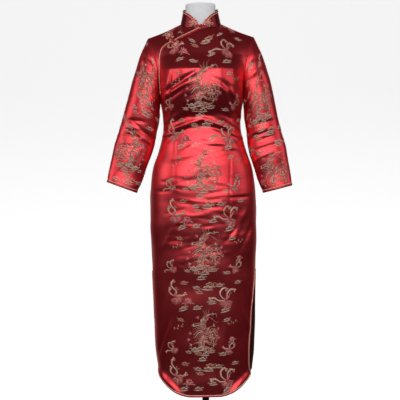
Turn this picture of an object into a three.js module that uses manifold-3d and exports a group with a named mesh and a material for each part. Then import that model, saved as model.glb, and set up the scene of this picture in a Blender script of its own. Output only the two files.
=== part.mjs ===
// Ankle-length satin cheongsam with long set-in sleeves, worn by a limbless dress form on a round base.
// Millimetres, +Z up, the wearer faces -Y and the origin is the centre of the base's underside.
// Each garment piece is a thin closed wall: a surface worked out from section tables, offset to two skins.
import * as THREE from "three";
import { mergeVertices } from "three/addons/utils/BufferGeometryUtils.js";
import Module from "manifold-3d";

const wasm = await Module();
wasm.setup();

// ---- driving dimensions
const CLOTH = 1.5; // wall of the body panels and sleeves
const COLLAR_WALL = 2; // interfaced stand collar
const GAP = 0.3; // seam gap between neighbouring pieces
const TRIM_LIFT = 0.9; // trim stands this far off the facets below it
const TRIM_THICK = 1.4;
const HEM_Z = 122;
const CORNER_TOP_Z = 212; // rows below this are squeezed into the rounded hem corners
const CORNER = { wide: 105, high: 85, power: 1.6 };
const SLIT_TOP_Z = 565;
const UNDERARM_Z = 1165;
const YOKE = 260; // from the underarm row to the neckline, along the centre line
const TOP = UNDERARM_Z + YOKE;
const SHOULDER = { x: 190, y: 0, z: 1399 };
const NECK = { half: 72, front: 58, back: 62, y: 4, sideZ: 1449, frontDrop: 24, backRise: 9 };
const NECK_SHARE = 1 / 3; // share of the half width that runs along the neckline
const FULLNESS = 0.14; // how much fuller than an ellipse the body sections are
const COLLAR = { height: 50, lean: 0.21, cornerAngle: 1.2, power: 3.3 };
const BINDING = { hem: 5, opening: 9, collar: 6, cuff: 11 };
const FLOWER = { radius: 15, eye: 3, thick: 2.4 };
const KNOT_RADIUS = 5;
const FORM_FLOOR_Z = 790;
const POLE_RADIUS = 12.5;
const BASE = { radius: 165, edge: 8, crown: 20 };

// ---- section tables
// Body below the underarm: half width at the side seams, depth of the front and of the back.
const BODY = [
  { z: 110, half: 162, front: 96, back: 100 },
  { z: 200, half: 166, front: 98, back: 102 },
  { z: 280, half: 175, front: 101, back: 106 },
  { z: 420, half: 181, front: 106, back: 111 },
  { z: 565, half: 185, front: 111, back: 116 },
  { z: 680, half: 189, front: 116, back: 120 },
  { z: 800, half: 190, front: 118, back: 121 },
  { z: 870, half: 186, front: 118, back: 116 },
  { z: 935, half: 176, front: 114, back: 106 },
  { z: 1000, half: 155, front: 104, back: 92 },
  { z: 1060, half: 140.5, front: 98, back: 82 },
  { z: 1105, half: 139, front: 102, back: 82 },
  { z: 1165, half: 148, front: 124, back: 91 },
];
// How far the bust stands out from the body's section, from the waist up to the chest.
const BUST = [
  { z: 1120, out: 0 },
  { z: 1165, out: 6 },
  { z: 1225, out: 15 },
  { z: 1276, out: 20 },
  { z: 1330, out: 0 },
];
// The front panel leaves the side seam below the slit on the wearer's left, by this many millimetres.
const SLIT_LEAN = [
  { z: 110, away: 6 },
  { z: 200, away: 10 },
  { z: 270, away: 16 },
  { z: 380, away: 14 },
  { z: 480, away: 8 },
  { z: 565, away: 0 },
];
// Largest folds of the body: centre, direction from the X axis, half length, half width and height.
const FRONT_FOLDS = [
  { x: 0, z: 1022, angle: 4, long: 105, wide: 15, high: 5 },
  { x: 0, z: 1062, angle: -3, long: 95, wide: 14, high: -5 },
  { x: -70, z: 1170, angle: 24, long: 60, wide: 14, high: -5 },
  { x: 112, z: 1105, angle: -62, long: 60, wide: 13, high: -5 },
  { x: 128, z: 770, angle: 70, long: 50, wide: 14, high: 4 },
  { x: -40, z: 640, angle: 8, long: 90, wide: 16, high: -4 },
  { x: 40, z: 905, angle: -6, long: 85, wide: 14, high: -3.5 },
];
const BACK_FOLDS = [
  { x: 0, z: 1035, angle: -5, long: 95, wide: 15, high: 5 },
  { x: 10, z: 1072, angle: 6, long: 90, wide: 14, high: -5 },
  { x: 60, z: 985, angle: 14, long: 70, wide: 14, high: -4 },
  { x: -75, z: 1190, angle: -60, long: 60, wide: 14, high: -4 },
  { x: 75, z: 1195, angle: 62, long: 55, wide: 14, high: -4 },
  { x: -30, z: 700, angle: -10, long: 90, wide: 16, high: -4 },
];
// Sleeves: the outermost and innermost point of each ring, its half depth and how far forward it hangs.
const SLEEVE_LEFT = [
  { outX: 217, outZ: 1345, inX: 149, inZ: 1156, deep: 50, forward: 0 },
  { outX: 240, outZ: 1270, inX: 150, inZ: 1138, deep: 52, forward: 0 },
  { outX: 262, outZ: 1195, inX: 153, inZ: 1108, deep: 49, forward: 1 },
  { outX: 285, outZ: 1120, inX: 161, inZ: 1066, deep: 44, forward: 2 },
  { outX: 305, outZ: 1050, inX: 173, inZ: 1014, deep: 38, forward: 5 },
  { outX: 322, outZ: 990, inX: 191, inZ: 957, deep: 34, forward: 9 },
  { outX: 335, outZ: 935, inX: 213, inZ: 897, deep: 29, forward: 14 },
  { outX: 343, outZ: 884, inX: 238, inZ: 844, deep: 25, forward: 20 },
];
const SLEEVE_RIGHT = [
  { outX: 216, outZ: 1345, inX: 149, inZ: 1156, deep: 50, forward: 0 },
  { outX: 239, outZ: 1270, inX: 150, inZ: 1138, deep: 52, forward: 0 },
  { outX: 257, outZ: 1195, inX: 152, inZ: 1110, deep: 49, forward: 1 },
  { outX: 273, outZ: 1115, inX: 157, inZ: 1065, deep: 44, forward: 3 },
  { outX: 290, outZ: 1040, inX: 164, inZ: 1010, deep: 38, forward: 7 },
  { outX: 303, outZ: 985, inX: 175, inZ: 955, deep: 34, forward: 11 },
  { outX: 313, outZ: 925, inX: 194, inZ: 893, deep: 29, forward: 16 },
  { outX: 319, outZ: 863, inX: 217, inZ: 838, deep: 25, forward: 22 },
];
// Slanting opening, from the neckline at the centre front to the underarm.
const OPENING = [
  { x: 0, z: 1425 },
  { x: -40, z: 1406 },
  { x: -81, z: 1387 },
  { x: -123, z: 1367 },
  { x: -136, z: 1356 },
  { x: -142, z: 1333 },
  { x: -145, z: 1300 },
  { x: -146.5, z: 1262 },
  { x: -146.5, z: 1225 },
  { x: -145, z: 1190 },
];
const OPENING_FOOT_Z = UNDERARM_Z + 6;
// Dress form: half width and the depth of its front and back, underside to neck.
const FORM = [
  { z: 790, half: 150, front: 82, back: 86 },
  { z: 800, half: 166, front: 96, back: 100 },
  { z: 860, half: 166, front: 98, back: 98 },
  { z: 930, half: 152, front: 92, back: 86 },
  { z: 1000, half: 132, front: 84, back: 74 },
  { z: 1065, half: 122, front: 80, back: 66 },
  { z: 1120, half: 124, front: 88, back: 68 },
  { z: 1180, half: 132, front: 108, back: 76 },
  { z: 1235, half: 138, front: 118, back: 80 },
  { z: 1285, half: 142, front: 96, back: 80 },
  { z: 1330, half: 150, front: 72, back: 72 },
  { z: 1360, half: 156, front: 50, back: 58 },
  { z: 1384, half: 150, front: 38, back: 46 },
  { z: 1402, half: 118, front: 36, back: 42 },
  { z: 1418, half: 84, front: 38, back: 44 },
  { z: 1434, half: 62, front: 39.5, back: 50 },
  { z: 1455, half: 55, front: 39.5, back: 52 },
  { z: 1490, half: 53.5, front: 39.5, back: 51 },
  { z: 1514, half: 54, front: 39.5, back: 51 },
  { z: 1519, half: 51, front: 36.5, back: 48 },
  { z: 1521, half: 45, front: 31, back: 42 },
];

// ---- colours and finishes
const FINISH = {
  satin: { color: 0xc01f2b, roughness: 0.36, metalness: 0 },
  binding: { color: 0x8e1a22, roughness: 0.4, metalness: 0 },
  form: { color: 0xdddde0, roughness: 0.55, metalness: 0 },
  steel: { color: 0x17171a, roughness: 0.45, metalness: 0.6 },
};

// ---- small maths
const clamp01 = (t) => Math.min(1, Math.max(0, t));
const ease = (t) => clamp01(t) ** 2 * (3 - 2 * clamp01(t));
const lerp = THREE.MathUtils.lerp;
const range = (count, from, to) => Array.from({ length: count + 1 }, (_, i) => lerp(from, to, i / count));

// Cubic through a table's rows, for one of its columns.
function column(table, key, z) {
  const last = table.length - 1;
  if (z <= table[0].z) return table[0][key];
  if (z >= table[last].z) return table[last][key];
  const i = table.findIndex((row) => row.z > z) - 1;
  const [p, a, b, q] = [table[Math.max(0, i - 1)], table[i], table[i + 1], table[Math.min(last, i + 2)]];
  const step = b.z - a.z;
  const t = (z - a.z) / step;
  const slopeA = p === a ? b[key] - a[key] : ((b[key] - p[key]) / (b.z - p.z)) * step;
  const slopeB = q === b ? b[key] - a[key] : ((q[key] - a[key]) / (q.z - a.z)) * step;
  const [t2, t3] = [t * t, t * t * t];
  return (2 * t3 - 3 * t2 + 1) * a[key] + (t3 - 2 * t2 + t) * slopeA
    + (3 * t2 - 2 * t3) * b[key] + (t3 - t2) * slopeB;
}

function bezier(a, b, c, d, t) {
  const s = 1 - t;
  return s * s * s * a + 3 * s * s * t * b + 3 * s * t * t * c + t * t * t * d;
}

// ---- solids from skins
// A closed mesh from vertices and triangles, turned to face outwards.
function closedGeometry(points, triangles) {
  const volume = triangles.reduce((sum, [a, b, c]) => {
    const normal = new THREE.Vector3().crossVectors(points[b], points[c]);
    return sum + points[a].dot(normal);
  }, 0);
  const index = volume < 0 ? triangles.map(([a, b, c]) => [a, c, b]) : triangles;
  const geometry = new THREE.BufferGeometry().setFromPoints(points);
  geometry.setIndex(index.flat());
  return geometry;
}

// Unit normal of a surface by finite differences, kept in a seam's plane by dropping the axes named.
function normalOf(surface, u, v, dropped = "") {
  const du = 0.004;
  const dv = Math.abs(v) > 2 ? 1.2 : 0.004;
  const along = surface(u + du, v).sub(surface(u - du, v));
  const up = surface(u, v + dv).sub(surface(u, v - dv));
  const normal = along.cross(up);
  for (const axis of dropped) normal[axis] = 0;
  return normal.normalize();
}

// A wall between two offsets of the grid surface(u, v). Positive offsets lie on the side of "out".
function wall(surface, us, vs, { low, high, out = 1, closed = false, seam = () => "" }) {
  const columns = closed ? us.length - 1 : us.length;
  const points = [];
  for (const offset of [low, high])
    for (const v of vs)
      for (const u of us.slice(0, columns)) {
        const normal = normalOf(surface, u, v, seam(u, v));
        points.push(surface(u, v).addScaledVector(normal, out * offset));
      }
  const at = (skin, j, i) => skin * vs.length * columns + j * columns + (i % columns);
  const triangles = [];
  const quad = (a, b, c, d) => triangles.push([a, b, c], [a, c, d]);
  const spans = us.length - 1;
  for (let j = 0; j + 1 < vs.length; j++)
    for (let i = 0; i < spans; i++) {
      quad(at(1, j, i), at(1, j, i + 1), at(1, j + 1, i + 1), at(1, j + 1, i));
      quad(at(0, j, i), at(0, j + 1, i), at(0, j + 1, i + 1), at(0, j, i + 1));
    }
  const top = vs.length - 1;
  for (let i = 0; i < spans; i++) {
    quad(at(0, 0, i), at(0, 0, i + 1), at(1, 0, i + 1), at(1, 0, i));
    quad(at(1, top, i), at(1, top, i + 1), at(0, top, i + 1), at(0, top, i));
  }
  if (!closed)
    for (let j = 0; j < top; j++) {
      quad(at(0, j + 1, 0), at(0, j, 0), at(1, j, 0), at(1, j + 1, 0));
      quad(at(0, j, spans), at(0, j + 1, spans), at(1, j + 1, spans), at(1, j, spans));
    }
  return closedGeometry(points, triangles);
}

// A solid through a row of closed sections, each a list of points, with flat ends.
function loft(sections) {
  const count = sections[0].length;
  const points = sections.flat();
  const triangles = [];
  for (let j = 0; j + 1 < sections.length; j++)
    for (let i = 0; i < count; i++) {
      const [a, b] = [j * count + i, j * count + ((i + 1) % count)];
      triangles.push([a, b, b + count], [a, b + count, a + count]);
    }
  const last = (sections.length - 1) * count;
  for (let i = 1; i + 1 < count; i++) {
    triangles.push([0, i + 1, i]);
    triangles.push([last, last + i, last + i + 1]);
  }
  return closedGeometry(points, triangles);
}

function manifoldOf(geometry) {
  const bare = geometry.index ? geometry.toNonIndexed() : geometry.clone();
  bare.deleteAttribute("normal");
  bare.deleteAttribute("uv");
  const merged = mergeVertices(bare, 1e-3);
  return new wasm.Manifold(new wasm.Mesh({
    numProp: 3,
    vertProperties: merged.attributes.position.array,
    triVerts: new Uint32Array(merged.index.array),
  }));
}

function geometryOf(manifold) {
  const mesh = manifold.getMesh();
  return new THREE.BufferGeometry()
    .setAttribute("position", new THREE.BufferAttribute(mesh.vertProperties, 3))
    .setIndex(new THREE.BufferAttribute(mesh.triVerts, 1));
}

// ---- the body's surface
// Height of the soft folds at a place on the front or back.
function foldsAt(folds, x, z) {
  return folds.reduce((sum, fold) => {
    const turn = THREE.MathUtils.degToRad(fold.angle);
    const [dx, dz] = [x - fold.x, z - fold.z];
    const along = (dx * Math.cos(turn) + dz * Math.sin(turn)) / fold.long;
    const across = (dz * Math.cos(turn) - dx * Math.sin(turn)) / fold.wide;
    return sum + fold.high * Math.exp(-(along ** 4) - across ** 2);
  }, 0);
}

// The bust: the cloth leans out to a level break at the points, hangs upright under it, and falls
// away to the waist.
function bust(z) {
  const upper = BUST.findIndex((row) => row.z >= z);
  if (upper < 1) return 0;
  const [below, above] = [BUST[upper - 1], BUST[upper]];
  return lerp(below.out, above.out, (z - below.z) / (above.z - below.z));
}

// Top edge of a panel: along the neckline, then down the shoulder seam.
function topEdge(side, u) {
  const across = Math.abs(u);
  if (across <= NECK_SHARE) {
    const turn = (u / NECK_SHARE) * (Math.PI / 2);
    const depth = side < 0 ? NECK.front : NECK.back;
    const rise = side < 0 ? -NECK.frontDrop : NECK.backRise;
    return new THREE.Vector3(
      NECK.half * Math.sin(turn),
      NECK.y + side * depth * Math.cos(turn),
      NECK.sideZ + rise * Math.cos(turn),
    );
  }
  const s = (across - NECK_SHARE) / (1 - NECK_SHARE);
  return new THREE.Vector3(
    Math.sign(u) * lerp(NECK.half, SHOULDER.x, s),
    lerp(NECK.y, SHOULDER.y, s),
    lerp(NECK.sideZ, SHOULDER.z, s) - 3 * Math.sin(Math.PI * s),
  );
}

// A point of the front (side -1) or back (side +1). Height h follows the centre line above the underarm.
function bodyPoint(side, u, h) {
  const z = Math.min(h, UNDERARM_Z);
  const depthKey = side < 0 ? "front" : "back";
  const turn = u * (Math.PI / 2);
  const [sin, cos] = [Math.sin(turn), Math.cos(turn)];
  const point = new THREE.Vector3(
    column(BODY, "half", z) * sin,
    side * column(BODY, depthKey, z) * cos * (1 + FULLNESS * sin * sin),
    z,
  );
  if (h > UNDERARM_Z) {
    const t = (h - UNDERARM_Z) / YOKE;
    const top = topEdge(side, u);
    const across = Math.abs(u);
    const neck = ease(across / NECK_SHARE);
    const tip = clamp01((across - NECK_SHARE) / (1 - NECK_SHARE));
    const rise = side < 0 ? 14 + 10 * neck + 34 * across ** 8 : 8 + 6 * neck + 46 * across ** 8;
    const roll = side < 0 ? lerp(lerp(46, 86, neck), 60, tip) : lerp(lerp(42, 82, neck), 62, tip);
    const fall = lerp(lerp(68, 38, neck), 62, tip);
    const pinch = 32 * tip * Math.sign(u);
    point.set(
      bezier(point.x, point.x, top.x - pinch, top.x, t),
      bezier(point.y, point.y + side * rise, top.y + side * roll, top.y, t),
      bezier(UNDERARM_Z, UNDERARM_Z + 70, top.z - fall, top.z, t),
    );
  }
  const shape = side < 0
    ? foldsAt(FRONT_FOLDS, point.x, point.z) + bust(point.z)
    : foldsAt(BACK_FOLDS, point.x, point.z);
  point.y += side * (shape * Math.min(1, 1.6 * cos) + GAP / 2);
  return point;
}

// A panel's own surface: the body's, drawn in at the slit and rounded up at the hem corners.
function panelPoint(side, u, h) {
  const half = column(BODY, "half", h);
  const away = side < 0 && u > 0 && h < SLIT_TOP_Z ? column(SLIT_LEAN, "away", h) : 0;
  const reach = away ? Math.asin((half - away) / half) / (Math.PI / 2) : 1;
  if (h >= CORNER_TOP_Z) return bodyPoint(side, u * reach, h);
  const edge = Math.sin(reach * (Math.PI / 2)) * half;
  const x = Math.abs(Math.sin(u * reach * (Math.PI / 2))) * half;
  const out = clamp01((x - (edge - CORNER.wide)) / CORNER.wide);
  const curve = Math.max(0, 1 - out ** CORNER.power) ** (1 / CORNER.power);
  const bottom = HEM_Z + CORNER.high * (1 - curve);
  const share = (h - HEM_Z) / (CORNER_TOP_Z - HEM_Z);
  return bodyPoint(side, u * reach, lerp(bottom, CORNER_TOP_Z, share));
}

// The place on the front at a given x and z, by fixed-point steps.
function onFront(x, z) {
  let [u, h] = [x / 170, Math.min(z, TOP - 20)];
  for (let i = 0; i < 60; i++) {
    const point = bodyPoint(-1, u, h);
    u += (0.6 * (x - point.x)) / 170;
    h += 0.6 * (z - point.z);
    h = Math.min(h, TOP);
  }
  return { point: bodyPoint(-1, u, h), normal: normalOf((a, b) => bodyPoint(-1, a, b), u, h) };
}

// ---- garment pieces
const YOKE_ROWS = [UNDERARM_Z, 1190, 1214, 1238, 1262, 1286, 1312, 1340, 1370, 1400, TOP];
const ROWS = [
  ...[HEM_Z, 136, 154, 178, CORNER_TOP_Z, 258, 310, 370, 435, 500, SLIT_TOP_Z, 620, 675, 730, 785],
  ...[835, 880, 925, 965],
  ...[1000, 1022, 1042, 1062, 1085, 1110, 1138],
  ...YOKE_ROWS,
];
const PANEL_COLUMNS = range(18, -1, 1);

function panel(side) {
  const surface = (u, h) => panelPoint(side, u, h);
  const seam = (u, h) => {
    const armhole = Math.abs(u) === 1 && h > UNDERARM_Z ? "x" : "";
    const joined = h === TOP || (Math.abs(u) === 1 && h <= UNDERARM_Z) ? "y" : "";
    return armhole + joined;
  };
  return wall(surface, PANEL_COLUMNS, ROWS, { low: -CLOTH, high: 0, out: -side, seam });
}

// A prism along Y over everything on the wearer's right of the opening line, moved by a seam gap.
function openingPrism(shift) {
  const shape = new THREE.Shape();
  shape.moveTo(OPENING[0].x + shift, OPENING[0].z + 120);
  for (const { x, z } of OPENING) shape.lineTo(x + shift, z - shift);
  shape.lineTo(OPENING.at(-1).x + shift, OPENING_FOOT_Z - shift);
  shape.lineTo(-400, OPENING_FOOT_Z - shift);
  shape.lineTo(-400, 1600);
  const prism = new THREE.ExtrudeGeometry(shape, { depth: 300, bevelEnabled: false });
  return manifoldOf(prism.rotateX(Math.PI / 2).translate(0, -0.5, 0));
}

function frontPieces() {
  const whole = manifoldOf(panel(-1));
  const parts = (solid) => solid.decompose().sort((a, b) => b.volume() - a.volume());
  return {
    front: geometryOf(parts(whole.subtract(openingPrism(GAP / 2)))[0]),
    underlap: geometryOf(parts(whole.intersect(openingPrism(-GAP / 2)))[0]),
  };
}

// The armhole, on the panels' own edge rows: angle 0 at the shoulder tip, pi at the underarm.
// The gap is wider at the tip, where the two rims turn away from each other.
function armholePoint(mirror, angle) {
  const side = angle <= Math.PI ? -1 : 1;
  const place = Math.abs(1 - angle / Math.PI) * (YOKE_ROWS.length - 1);
  const row = Math.min(Math.floor(place + 1e-9), YOKE_ROWS.length - 2);
  const point = bodyPoint(side, mirror, lerp(YOKE_ROWS[row], YOKE_ROWS[row + 1], place - row));
  point.x += mirror * GAP * (1 + 3 * Math.max(0, Math.cos(angle)) ** 8);
  return point;
}

// A sleeve: u turns round it from 0 to 1, v runs from the armhole, 0, to the cuff, 1.
function sleevePoint(table, mirror, u, v) {
  const angle = u * 2 * Math.PI;
  const ringPoint = (k) => {
    if (k <= 0) return armholePoint(mirror, angle);
    const ring = table[Math.min(k, table.length) - 1];
    const [out, deep] = [Math.cos(angle), Math.sin(angle)];
    return new THREE.Vector3(
      mirror * ((ring.outX + ring.inX) / 2 + ((ring.outX - ring.inX) / 2) * out),
      -ring.forward - ring.deep * deep,
      (ring.outZ + ring.inZ) / 2 + ((ring.outZ - ring.inZ) / 2) * out,
    );
  };
  const place = v * table.length;
  const k = Math.min(table.length - 1, Math.max(0, Math.floor(place)));
  const t = place - k;
  const [p, a, b, q] = [ringPoint(k - 1), ringPoint(k), ringPoint(k + 1), ringPoint(k + 2)];
  const slopeA = k === 0 ? b.clone().sub(a) : b.clone().sub(p).multiplyScalar(0.5);
  const slopeB = k === table.length - 1 ? b.clone().sub(a) : q.clone().sub(a).multiplyScalar(0.5);
  return a.multiplyScalar(2 * t ** 3 - 3 * t * t + 1)
    .addScaledVector(slopeA, t ** 3 - 2 * t * t + t)
    .addScaledVector(b, 3 * t * t - 2 * t ** 3)
    .addScaledVector(slopeB, t ** 3 - t * t);
}

const SLEEVE_TURNS = range(2 * (YOKE_ROWS.length - 1), 0, 1);
const CUFF_START = 1 - BINDING.cuff / 420;

function sleeve(table, mirror) {
  const surface = (u, v) => sleevePoint(table, mirror, u, v);
  const rows = [...range(14, 0, 1).slice(0, -1), CUFF_START, 1];
  const seam = (u, v) => (v === 0 ? "x" : "");
  return wall(surface, SLEEVE_TURNS, rows, { low: -CLOTH, high: 0, out: mirror, closed: true, seam });
}

function cuffPiping(table, mirror) {
  const surface = (u, v) => sleevePoint(table, mirror, u, v);
  const skins = { low: TRIM_LIFT, high: TRIM_LIFT + TRIM_THICK };
  return wall(surface, SLEEVE_TURNS, [CUFF_START, 1], { ...skins, out: mirror, closed: true });
}

// The stand collar: angle from the centre front round the neck, height above the neckline.
function collarPoint(angle, height) {
  const [sin, cos] = [Math.sin(angle), Math.cos(angle)];
  const shrink = COLLAR.lean * height;
  return new THREE.Vector3(
    (NECK.half - shrink) * sin,
    NECK.y - ((cos > 0 ? NECK.front : NECK.back) - shrink * 0.8) * cos,
    NECK.sideZ - (cos > 0 ? NECK.frontDrop : NECK.backRise) * cos + 4.5 * GAP + height,
  );
}

// The collar's height, with its front corners falling in a long curve to the centre front.
function collarHeight(angle) {
  const fromFront = Math.min(angle, 2 * Math.PI - angle) / COLLAR.cornerAngle;
  return COLLAR.height * (1 - (1 - clamp01(fromFront)) ** COLLAR.power);
}

const COLLAR_TURNS = [
  ...[0.05, 0.1, 0.18, 0.28, 0.42, 0.6, 0.82, 1.08],
  ...range(12, 1.35, 2 * Math.PI - 1.35),
  ...[1.08, 0.82, 0.6, 0.42, 0.28, 0.18, 0.1, 0.05].map((angle) => 2 * Math.PI - angle),
];

function collar() {
  const surface = (angle, share) => collarPoint(angle, share * collarHeight(angle));
  return wall(surface, COLLAR_TURNS, [0, 0.3, 0.65, 1], { low: -COLLAR_WALL, high: 0 });
}

function collarPiping() {
  const surface = (angle, share) => {
    const high = collarHeight(angle);
    return collarPoint(angle, Math.max(1, high - BINDING.collar * (1 - share)));
  };
  return wall(surface, COLLAR_TURNS, [0, 1], { low: TRIM_LIFT, high: TRIM_LIFT + TRIM_THICK });
}

// A flat band beside a path: at each step its point, the surface's normal and the way across the band.
function band(steps, width) {
  return loft(steps.map(({ point, normal, across }) => {
    const corner = (aside, lift) =>
      point.clone().addScaledVector(across, aside).addScaledVector(normal, lift);
    const high = TRIM_LIFT + TRIM_THICK;
    return [corner(0, TRIM_LIFT), corner(width, TRIM_LIFT), corner(width, high), corner(0, high)];
  }));
}

// Binding of the slit edges, round both corners and along the hem of one panel.
function hemPiping(side) {
  const surface = (u, h) => panelPoint(side, u, h);
  const slitRows = ROWS.filter((h) => h > HEM_Z && h <= SLIT_TOP_Z);
  const path = [
    ...slitRows.toReversed().map((h) => [-1, h]),
    ...PANEL_COLUMNS.map((u) => [u, HEM_Z]),
    ...slitRows.map((h) => [1, h]),
  ];
  const places = path.map(([u, h]) => surface(u, h));
  return band(path.map(([u, h], i) => {
    const normal = normalOf(surface, u * 0.999, h + 1.5).multiplyScalar(side < 0 ? 1 : -1);
    const next = places[Math.min(i + 1, path.length - 1)];
    const tangent = next.clone().sub(places[Math.max(i - 1, 0)]).normalize();
    const across = tangent.clone().cross(normal).multiplyScalar(side).normalize();
    return { point: places[i], normal, across };
  }), BINDING.hem);
}

function openingPiping() {
  const line = [];
  OPENING.slice(1).forEach((end, i) => {
    const start = OPENING[i];
    const count = Math.max(1, Math.round(Math.hypot(end.x - start.x, end.z - start.z) / 18));
    const shares = range(count, 0, 1).slice(i ? 1 : 0);
    line.push(...shares.map((s) => ({ x: lerp(start.x, end.x, s), z: lerp(start.z, end.z, s) })));
  });
  const places = line.map(({ x, z }) => onFront(x, Math.min(z, NECK.sideZ - NECK.frontDrop - 4)));
  return band(places.map(({ point, normal }, i) => {
    const next = places[Math.min(i + 1, places.length - 1)].point;
    const tangent = next.clone().sub(places[Math.max(i - 1, 0)].point).normalize();
    const across = normal.clone().cross(tangent).normalize();
    return { point: point.clone().addScaledVector(across, -BINDING.opening / 2), normal, across };
  }), BINDING.opening);
}

// ---- flower frogs
// A four-petalled flower on a surface, given the surface's place for an x and z.
function flower(place, centre, turnDegrees) {
  const turn = THREE.MathUtils.degToRad(turnDegrees);
  const surface = (u, share) => {
    const angle = u * 2 * Math.PI;
    const petal = FLOWER.radius * (0.82 + 0.18 * Math.cos(4 * (angle - turn)));
    const radius = lerp(FLOWER.eye, petal, share);
    return place(centre.x + radius * Math.cos(angle), centre.z + radius * Math.sin(angle));
  };
  const low = TRIM_LIFT + TRIM_THICK + 2 * GAP;
  return wall(surface, range(16, 0, 1), [0, 1], { low, high: low + FLOWER.thick, out: -1, closed: true });
}

const frontPlace = (x, z) => onFront(x, z).point;

function collarPlace(x, z) {
  const angle = Math.asin(x / (NECK.half - 3));
  return collarPoint(angle, z - NECK.sideZ + NECK.frontDrop * Math.cos(angle));
}

// The knotted button and its loop, a small flattened ball between two flowers.
function knot(place, centre) {
  const low = TRIM_LIFT + TRIM_THICK + 10 * GAP + KNOT_RADIUS * 0.8;
  const seat = place(centre.x, centre.z);
  const ball = new THREE.SphereGeometry(KNOT_RADIUS, 12, 8).scale(1, 0.8, 1);
  return ball.translate(seat.x, seat.y - low, seat.z);
}

// ---- dress form and stand
function formSection(z, sides) {
  const [half, front, back] = ["half", "front", "back"].map((key) => column(FORM, key, z));
  return range(sides, 0, 1).slice(0, -1).map((share) => {
    const [sin, cos] = [Math.sin(share * 2 * Math.PI), Math.cos(share * 2 * Math.PI)];
    return new THREE.Vector3(half * sin, -(cos > 0 ? front : back) * cos * (1 + FULLNESS * sin * sin), z);
  });
}

const FORM_ROWS = [
  ...[790, 794, 800, 830, 860, 895, 930, 965, 1000, 1032, 1065, 1092, 1120, 1150, 1180, 1208, 1235, 1260],
  ...[1285, 1308, 1330, 1346, 1360, 1373, 1384, 1394, 1402, 1410, 1418, 1426, 1434, 1444, 1455, 1490, 1514],
  ...[1519, 1521],
];

const dressForm = () => loft(FORM_ROWS.map((z) => formSection(z, 24)));

function turned(outline, sides) {
  const profile = outline.map(([radius, z]) => new THREE.Vector2(radius, z));
  return new THREE.LatheGeometry(profile, sides).rotateX(Math.PI / 2);
}

function pole() {
  const [low, high] = [BASE.crown + GAP, FORM_FLOOR_Z - GAP];
  return turned([[0, low], [POLE_RADIUS, low], [POLE_RADIUS, high], [0, high]], 20);
}

function standBase() {
  const { radius, edge, crown } = BASE;
  const slope = [[radius, edge], [radius - 6, edge + 4], [50, crown - 3], [30, crown]];
  return turned([[0, 0], [radius, 0], ...slope, [0, crown]], 40);
}

// ---- assembly
const { front, underlap } = frontPieces();
const PIECES = [
  ["front_panel", front, "satin"],
  ["front_underlap", underlap, "satin"],
  ["back_panel", panel(1), "satin"],
  ["sleeve_right_arm", sleeve(SLEEVE_LEFT, -1), "satin"],
  ["sleeve_left_arm", sleeve(SLEEVE_RIGHT, 1), "satin"],
  ["collar", collar(), "satin"],
  ["piping_collar", collarPiping(), "binding"],
  ["piping_opening", openingPiping(), "binding"],
  ["piping_cuff_right_arm", cuffPiping(SLEEVE_LEFT, -1), "binding"],
  ["piping_cuff_left_arm", cuffPiping(SLEEVE_RIGHT, 1), "binding"],
  ["piping_front_hem", hemPiping(-1), "binding"],
  ["piping_back_hem", hemPiping(1), "binding"],
  ["frog_collar_loop", flower(collarPlace, { x: -26, z: 1446 }, 20), "binding"],
  ["frog_collar_button", flower(collarPlace, { x: 25, z: 1444 }, 65), "binding"],
  ["frog_collar_knot", knot(collarPlace, { x: 0, z: 1433 }), "binding"],
  ["frog_opening_loop", flower(frontPlace, { x: -113, z: 1404 }, 30), "binding"],
  ["frog_opening_button", flower(frontPlace, { x: -86, z: 1366 }, 10), "binding"],
  ["frog_opening_knot", knot(frontPlace, { x: -100, z: 1386 }), "binding"],
  ["dress_form", dressForm(), "form"],
  ["stand_pole", pole(), "steel"],
  ["stand_base", standBase(), "steel"],
];

const cheongsam = new THREE.Group();
for (const [name, geometry, finish] of PIECES) {
  const mesh = new THREE.Mesh(geometry, new THREE.MeshStandardMaterial(FINISH[finish]));
  mesh.name = name;
  cheongsam.add(mesh);
}

export default cheongsam;
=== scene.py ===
"""Red satin brocade cheongsam on a limbless dress form, modelled around the packed frame.

Laid out as a Blender add-on: one property group for each kind of setting, one operator for each
piece or group of like pieces, and a panel in the 3D view's sidebar that lists them.
Lengths inside the functions are millimetres, and meshes are written in metres.
"""
import math
import random

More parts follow.
